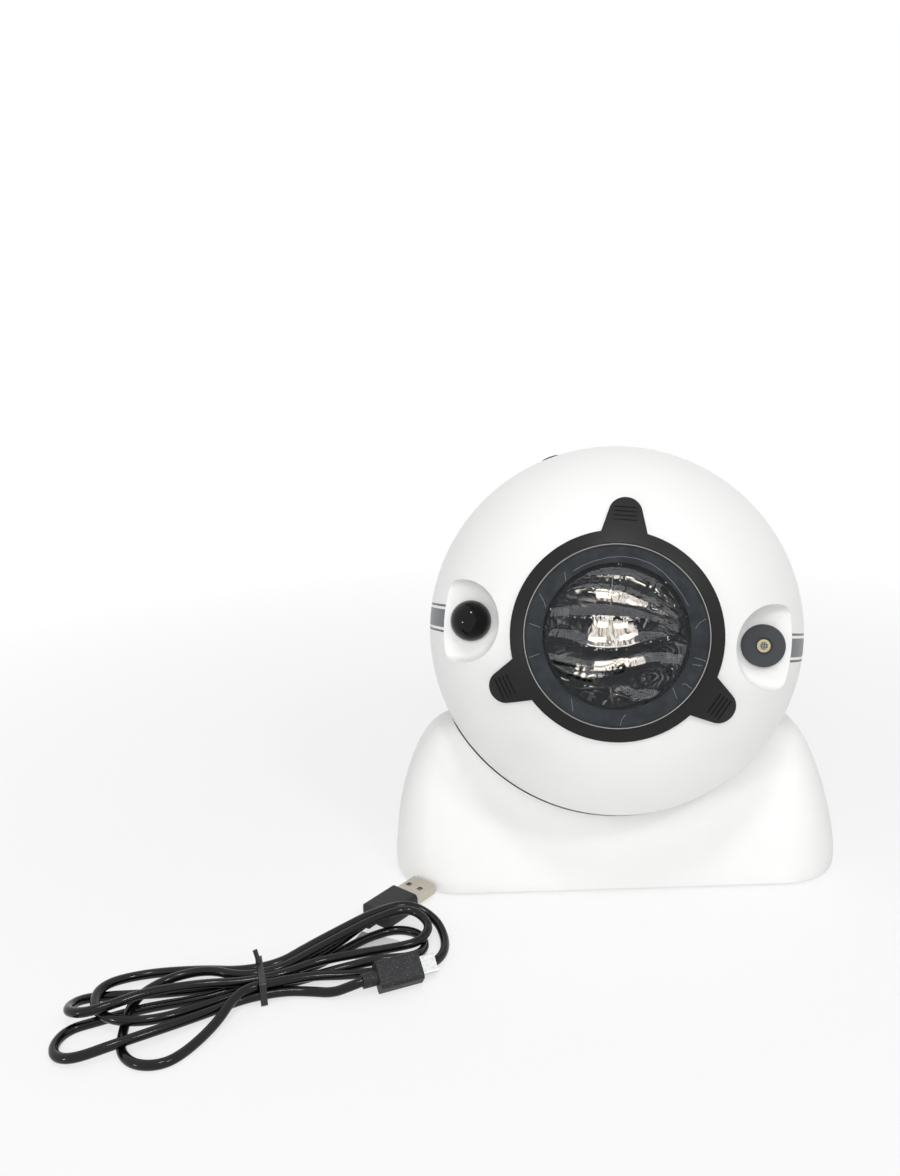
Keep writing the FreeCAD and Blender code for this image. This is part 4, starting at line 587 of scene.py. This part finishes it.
# White solder mask with painted light: it glows cream white by itself, in uneven bright and
# dark columns that stand for the light the flutes of the cup round it throw on it.
board_painted_glow, shader, place = start_material("white_solder_mask_painted_glow", "efece0", 0.4)
own_place = ball_coordinates(board_painted_glow, place)
upright = add_node(board_painted_glow, "ShaderNodeMapping",
                   {"Scale": (1.0, 1.0, LIGHT_COLUMN_WIDTH / LIGHT_COLUMN_HEIGHT)}, [("Vector", own_place)])
light_columns = add_node(board_painted_glow, "ShaderNodeTexNoise", {"Scale": 1 / LIGHT_COLUMN_WIDTH, "Detail": 3.0},
                   [("Vector", upright.outputs[0])])
painted_light_columns = add_node(board_painted_glow, "ShaderNodeValToRGB", links=[(0, light_columns.outputs["Fac"])])
painted_light_columns.color_ramp.elements[0].position = 0.4
painted_light_columns.color_ramp.elements[0].color = linear("4a4a48")
painted_light_columns.color_ramp.elements[1].position = 0.58
painted_light_columns.color_ramp.elements[1].color = linear("fffcf4")
painted_light_columns.color_ramp.elements.new(0.48).color = linear("d6d2c2")
for socket in ("Base Color", "Emission Color"):
    board_painted_glow.node_tree.links.new(painted_light_columns.outputs["Color"], shader.inputs[socket])
# painted glow: the board is no lamp, yet it gives off light
shader.inputs["Emission Strength"].default_value = 0.8
dress(board_painted_glow, "circuit_board", "led_board")

# ---------------------------------------------------------------- eyes
# Left, the remote control's receiver under a polished dark dome. Right, the star laser: a
# turned brass nozzle in a grey cap, with a cross-ruled film that splits its beam.
RULING_SPACING = 0.9 * MM
RULING_SHARE = 0.16
# Polished dark acrylic: black, with small sharp highlights and faint polishing marks.
dome_black, shader, place = start_material("polished_dark_acrylic", "050405", 0.03)
shader.inputs["Specular IOR Level"].default_value = 0.25
grain(dome_black, shader, place, 2.0 * MM, 0.001 * MM, "060506", "040304")
dress(dome_black, "eye_dome", "ir_dome")
# Moulded ABS, dark grey and matt.
cap_grey, shader, place = start_material("matt_grey_abs", "393b3f", 0.6)
grain(cap_grey, shader, place, 0.5 * MM, 0.03 * MM, "3d4043", "34373a")
dress(cap_grey, "eye_cap", "laser_cap")
# Turned brass: pale yellow, with fine turning marks.
brass, shader, place = start_material("turned_brass", "cdbf98", 0.25, Metallic=1.0)
grain(brass, shader, place, 0.6 * MM, 0.02 * MM, "d8cba6", "b9a97f")
dress(brass, "laser_brass", "laser_module")
# Ruled film: dark, with a pale square grid drawn as coarse as it needs to be to show.
film, shader, place = start_material("ruled_film", "202327", 0.2)
own_place = ball_coordinates(film, place)
axes = add_node(film, "ShaderNodeSeparateXYZ", links=[(0, own_place)])
rulings = []
for axis in ("X", "Z"):
    cells = add_node(film, "ShaderNodeMath", {"operation": "MULTIPLY", 1: 1 / RULING_SPACING},
                     [(0, axes.outputs[axis])])
    share = add_node(film, "ShaderNodeMath", {"operation": "PINGPONG", 1: 0.5},
                     [(0, cells.outputs[0])])
    rulings.append(add_node(film, "ShaderNodeMath", {"operation": "LESS_THAN", 1: RULING_SHARE},
                            [(0, share.outputs[0])]))
ruled = add_node(film, "ShaderNodeMath", {"operation": "MAXIMUM"},
                 [(0, rulings[0].outputs[0]), (1, rulings[1].outputs[0])])
tint = add_node(film, "ShaderNodeMix",
                {"data_type": "RGBA", 6: linear("303338"), 7: linear("9a9b9c")},
                [(0, ruled.outputs[0])])
film.node_tree.links.new(tint.outputs[2], shader.inputs["Base Color"])
dress(film, "grating_film", "star_grating")

# ---------------------------------------------------------------- inside
# What the shells hide: screws and shafts, circuit boards, the plastic frame they are fixed
# to, the heat sink behind the light source, the ripple disc's motor and the ballast.

# Zinc-plated steel: grey and half bright.
steel, shader, place = start_material("zinc_plated_steel", "a9a9ab", 0.35, Metallic=1.0)
grain(steel, shader, place, 0.6 * MM, 0.02 * MM, "b0b0b2", "9c9c9f")
dress(steel, "steel", "base_screws", "shell_screws", "tube_screws", "board_screws", "motor_shaft")
# Green solder mask: deep green and glossy.
board_green, shader, place = start_material("green_solder_mask", "0d4626", 0.3)
grain(board_green, shader, place, 1.5 * MM, 0.02 * MM, "0f4e2b", "0b3c20")
dress(board_green, "circuit_board", "ir_board", "main_board", "inlet_board")
# Black ABS that nobody sees, left as it leaves the mould.
dark, shader, place = start_material("dark_inner_abs", "2c2c2e", 0.55)
grain(dark, shader, place, 0.6 * MM, 0.03 * MM, "303032", "262628")
dress(dark, "inner_plastic", "motor_bracket", "chassis")
dress(dark, "black_epoxy", "ir_receiver", "button_switches")
# Extruded aluminium: pale grey, with a dull drawn skin.
sink, shader, place = start_material("extruded_aluminium", "b4b6b8", 0.4, Metallic=1.0)
grain(sink, shader, place, 0.8 * MM, 0.03 * MM, "bcbec0", "a6a8aa")
dress(sink, "sink_metal", "heat_sink")
dress(sink, "motor_case", "disc_motor")
dress(steel, "ballast", "base_weight")
# Phosphor over the light sources: warm white and glowing.
lamp, shader, place = start_material("phosphor_chip", "f4eccd", 0.3)
grain(lamp, shader, place, 0.8 * MM, 0.02 * MM, "f8f2da", "e9ddb4", drift=2 * MM)
shader.inputs["Emission Color"].default_value = linear("fffaf0")
shader.inputs["Emission Strength"].default_value = 1.6
dress(lamp, "lamp_chip", "led_chips")
# Natural acetal: milky white and waxy.
acetal, shader, place = start_material("natural_acetal", "dedbd0", 0.4)
grain(acetal, shader, place, 0.4 * MM, 0.01 * MM, "e2dfd5", "d6d3c7")
dress(acetal, "gear_plastic", "motor_pinion")
# Film circuit: amber, cloudy where the copper runs under it.
amber, shader, place = start_material("amber_film", "a8662a", 0.3)
grain(amber, shader, place, 0.6 * MM, 0.01 * MM, "b06c2e", "9a5c24", drift=4 * MM)
dress(amber, "flex_film", "button_flex")

# ---------------------------------------------------------------- studio
# A pale table top under plain soft light from the front and above. What the camera, a
# reflection or the lens sees of the surroundings is white, whatever light they give.
WORLD_LIGHT = 0.34
FADE_FROM = 0.12
FADE_TO = 0.6
FADE_START = 0.62


def seen_directly(owner):
    """1 where the camera, a reflection or clear glass looks at it, and 0 where it only lights."""
    ray = add_node(owner, "ShaderNodeLightPath")
    seen_or_mirrored = add_node(owner, "ShaderNodeMath", {"operation": "MAXIMUM"},
                                [(0, ray.outputs["Is Camera Ray"]),
                                 (1, ray.outputs["Is Glossy Ray"])])
    return add_node(owner, "ShaderNodeMath", {"operation": "MAXIMUM"},
                    [(0, seen_or_mirrored.outputs[0]),
                     (1, ray.outputs["Is Transmission Ray"])]).outputs[0]


bpy.ops.mesh.primitive_plane_add(size=6.0, location=(0.0, 0.0, 0.0))
floor = bpy.context.object
floor.name = "floor"
# Painted board: seen a little paler than it is lit, and faded to the white backdrop far away.
table, shader, place = start_material("pale_table", "f6f6f6", 0.8)
far_off = add_node(table, "ShaderNodeVectorMath", {"operation": "LENGTH"}, [(0, place)])
fade = add_node(table, "ShaderNodeMapRange",
                {"From Min": FADE_FROM, "From Max": FADE_TO, "To Min": FADE_START},
                [("Value", far_off.outputs["Value"])])
fade_seen = add_node(table, "ShaderNodeMath", {"operation": "MULTIPLY"},
                     [(0, fade.outputs["Result"]), (1, seen_directly(table))])
white = add_node(table, "ShaderNodeEmission", {"Color": (1.0, 1.0, 1.0, 1.0)})
blend = add_node(table, "ShaderNodeMixShader",
                 links=[(0, fade_seen.outputs[0]), (1, shader.outputs[0]), (2, white.outputs[0])])
table_out = next(node for node in table.node_tree.nodes if node.type == "OUTPUT_MATERIAL")
table.node_tree.links.new(blend.outputs[0], table_out.inputs["Surface"])
floor.data.materials.append(table)

world = bpy.data.worlds.new("studio")
bpy.context.scene.world = world
world.use_nodes = True
world.node_tree.nodes.clear()
strength = add_node(world, "ShaderNodeMapRange", {"To Min": WORLD_LIGHT},
                    [("Value", seen_directly(world))])
sky = add_node(world, "ShaderNodeBackground", {"Color": (1.0, 1.0, 1.0, 1.0)},
               [("Strength", strength.outputs["Result"])])
add_node(world, "ShaderNodeOutputWorld", links=[("Surface", sky.outputs[0])])


def lamp_at(name, place, target, size, watts):
    """A round soft lamp that faces a point."""
    data = bpy.data.lights.new(name, "AREA")
    data.shape = "DISK"
    data.size = size
    data.energy = watts
    lamp_object = bpy.data.objects.new(name, data)
    bpy.context.scene.collection.objects.link(lamp_object)
    lamp_object.location = place
    way = Vector(target) - Vector(place)
    lamp_object.rotation_euler = way.to_track_quat("-Z", "Y").to_euler()
    return lamp_object


BALL_MIDDLE = (0.0, 0.0, 0.1)
LEFT_EYE = (-0.06, -0.05, 0.12)
LENS_CREST = (-0.02, -0.07, 0.12)
# The two large lamps light everything and show in nothing. The small ones draw the streaks on
# the cord and the highlights on dome and lens.
for name, place, size, watts in (("front_softbox", (-0.25, -1.3, 0.95), 0.8, 8.4),
                                 ("top_softbox", (0.1, -0.2, 1.5), 0.8, 2.2)):
    lamp_at(name, place, BALL_MIDDLE, size, watts).visible_glossy = False
lamp_at("crest_lamp", (-0.04, -0.52, 1.10), LENS_CREST, size=0.16, watts=1.9)
lamp_at("right_lamp", (0.45, -0.725, 0.82), LEFT_EYE, size=0.14, watts=1.6)
lamp_at("left_lamp", (-0.82, -0.69, 0.19), LEFT_EYE, size=0.12, watts=1.1)

bpy.context.scene.view_settings.view_transform = "Standard"
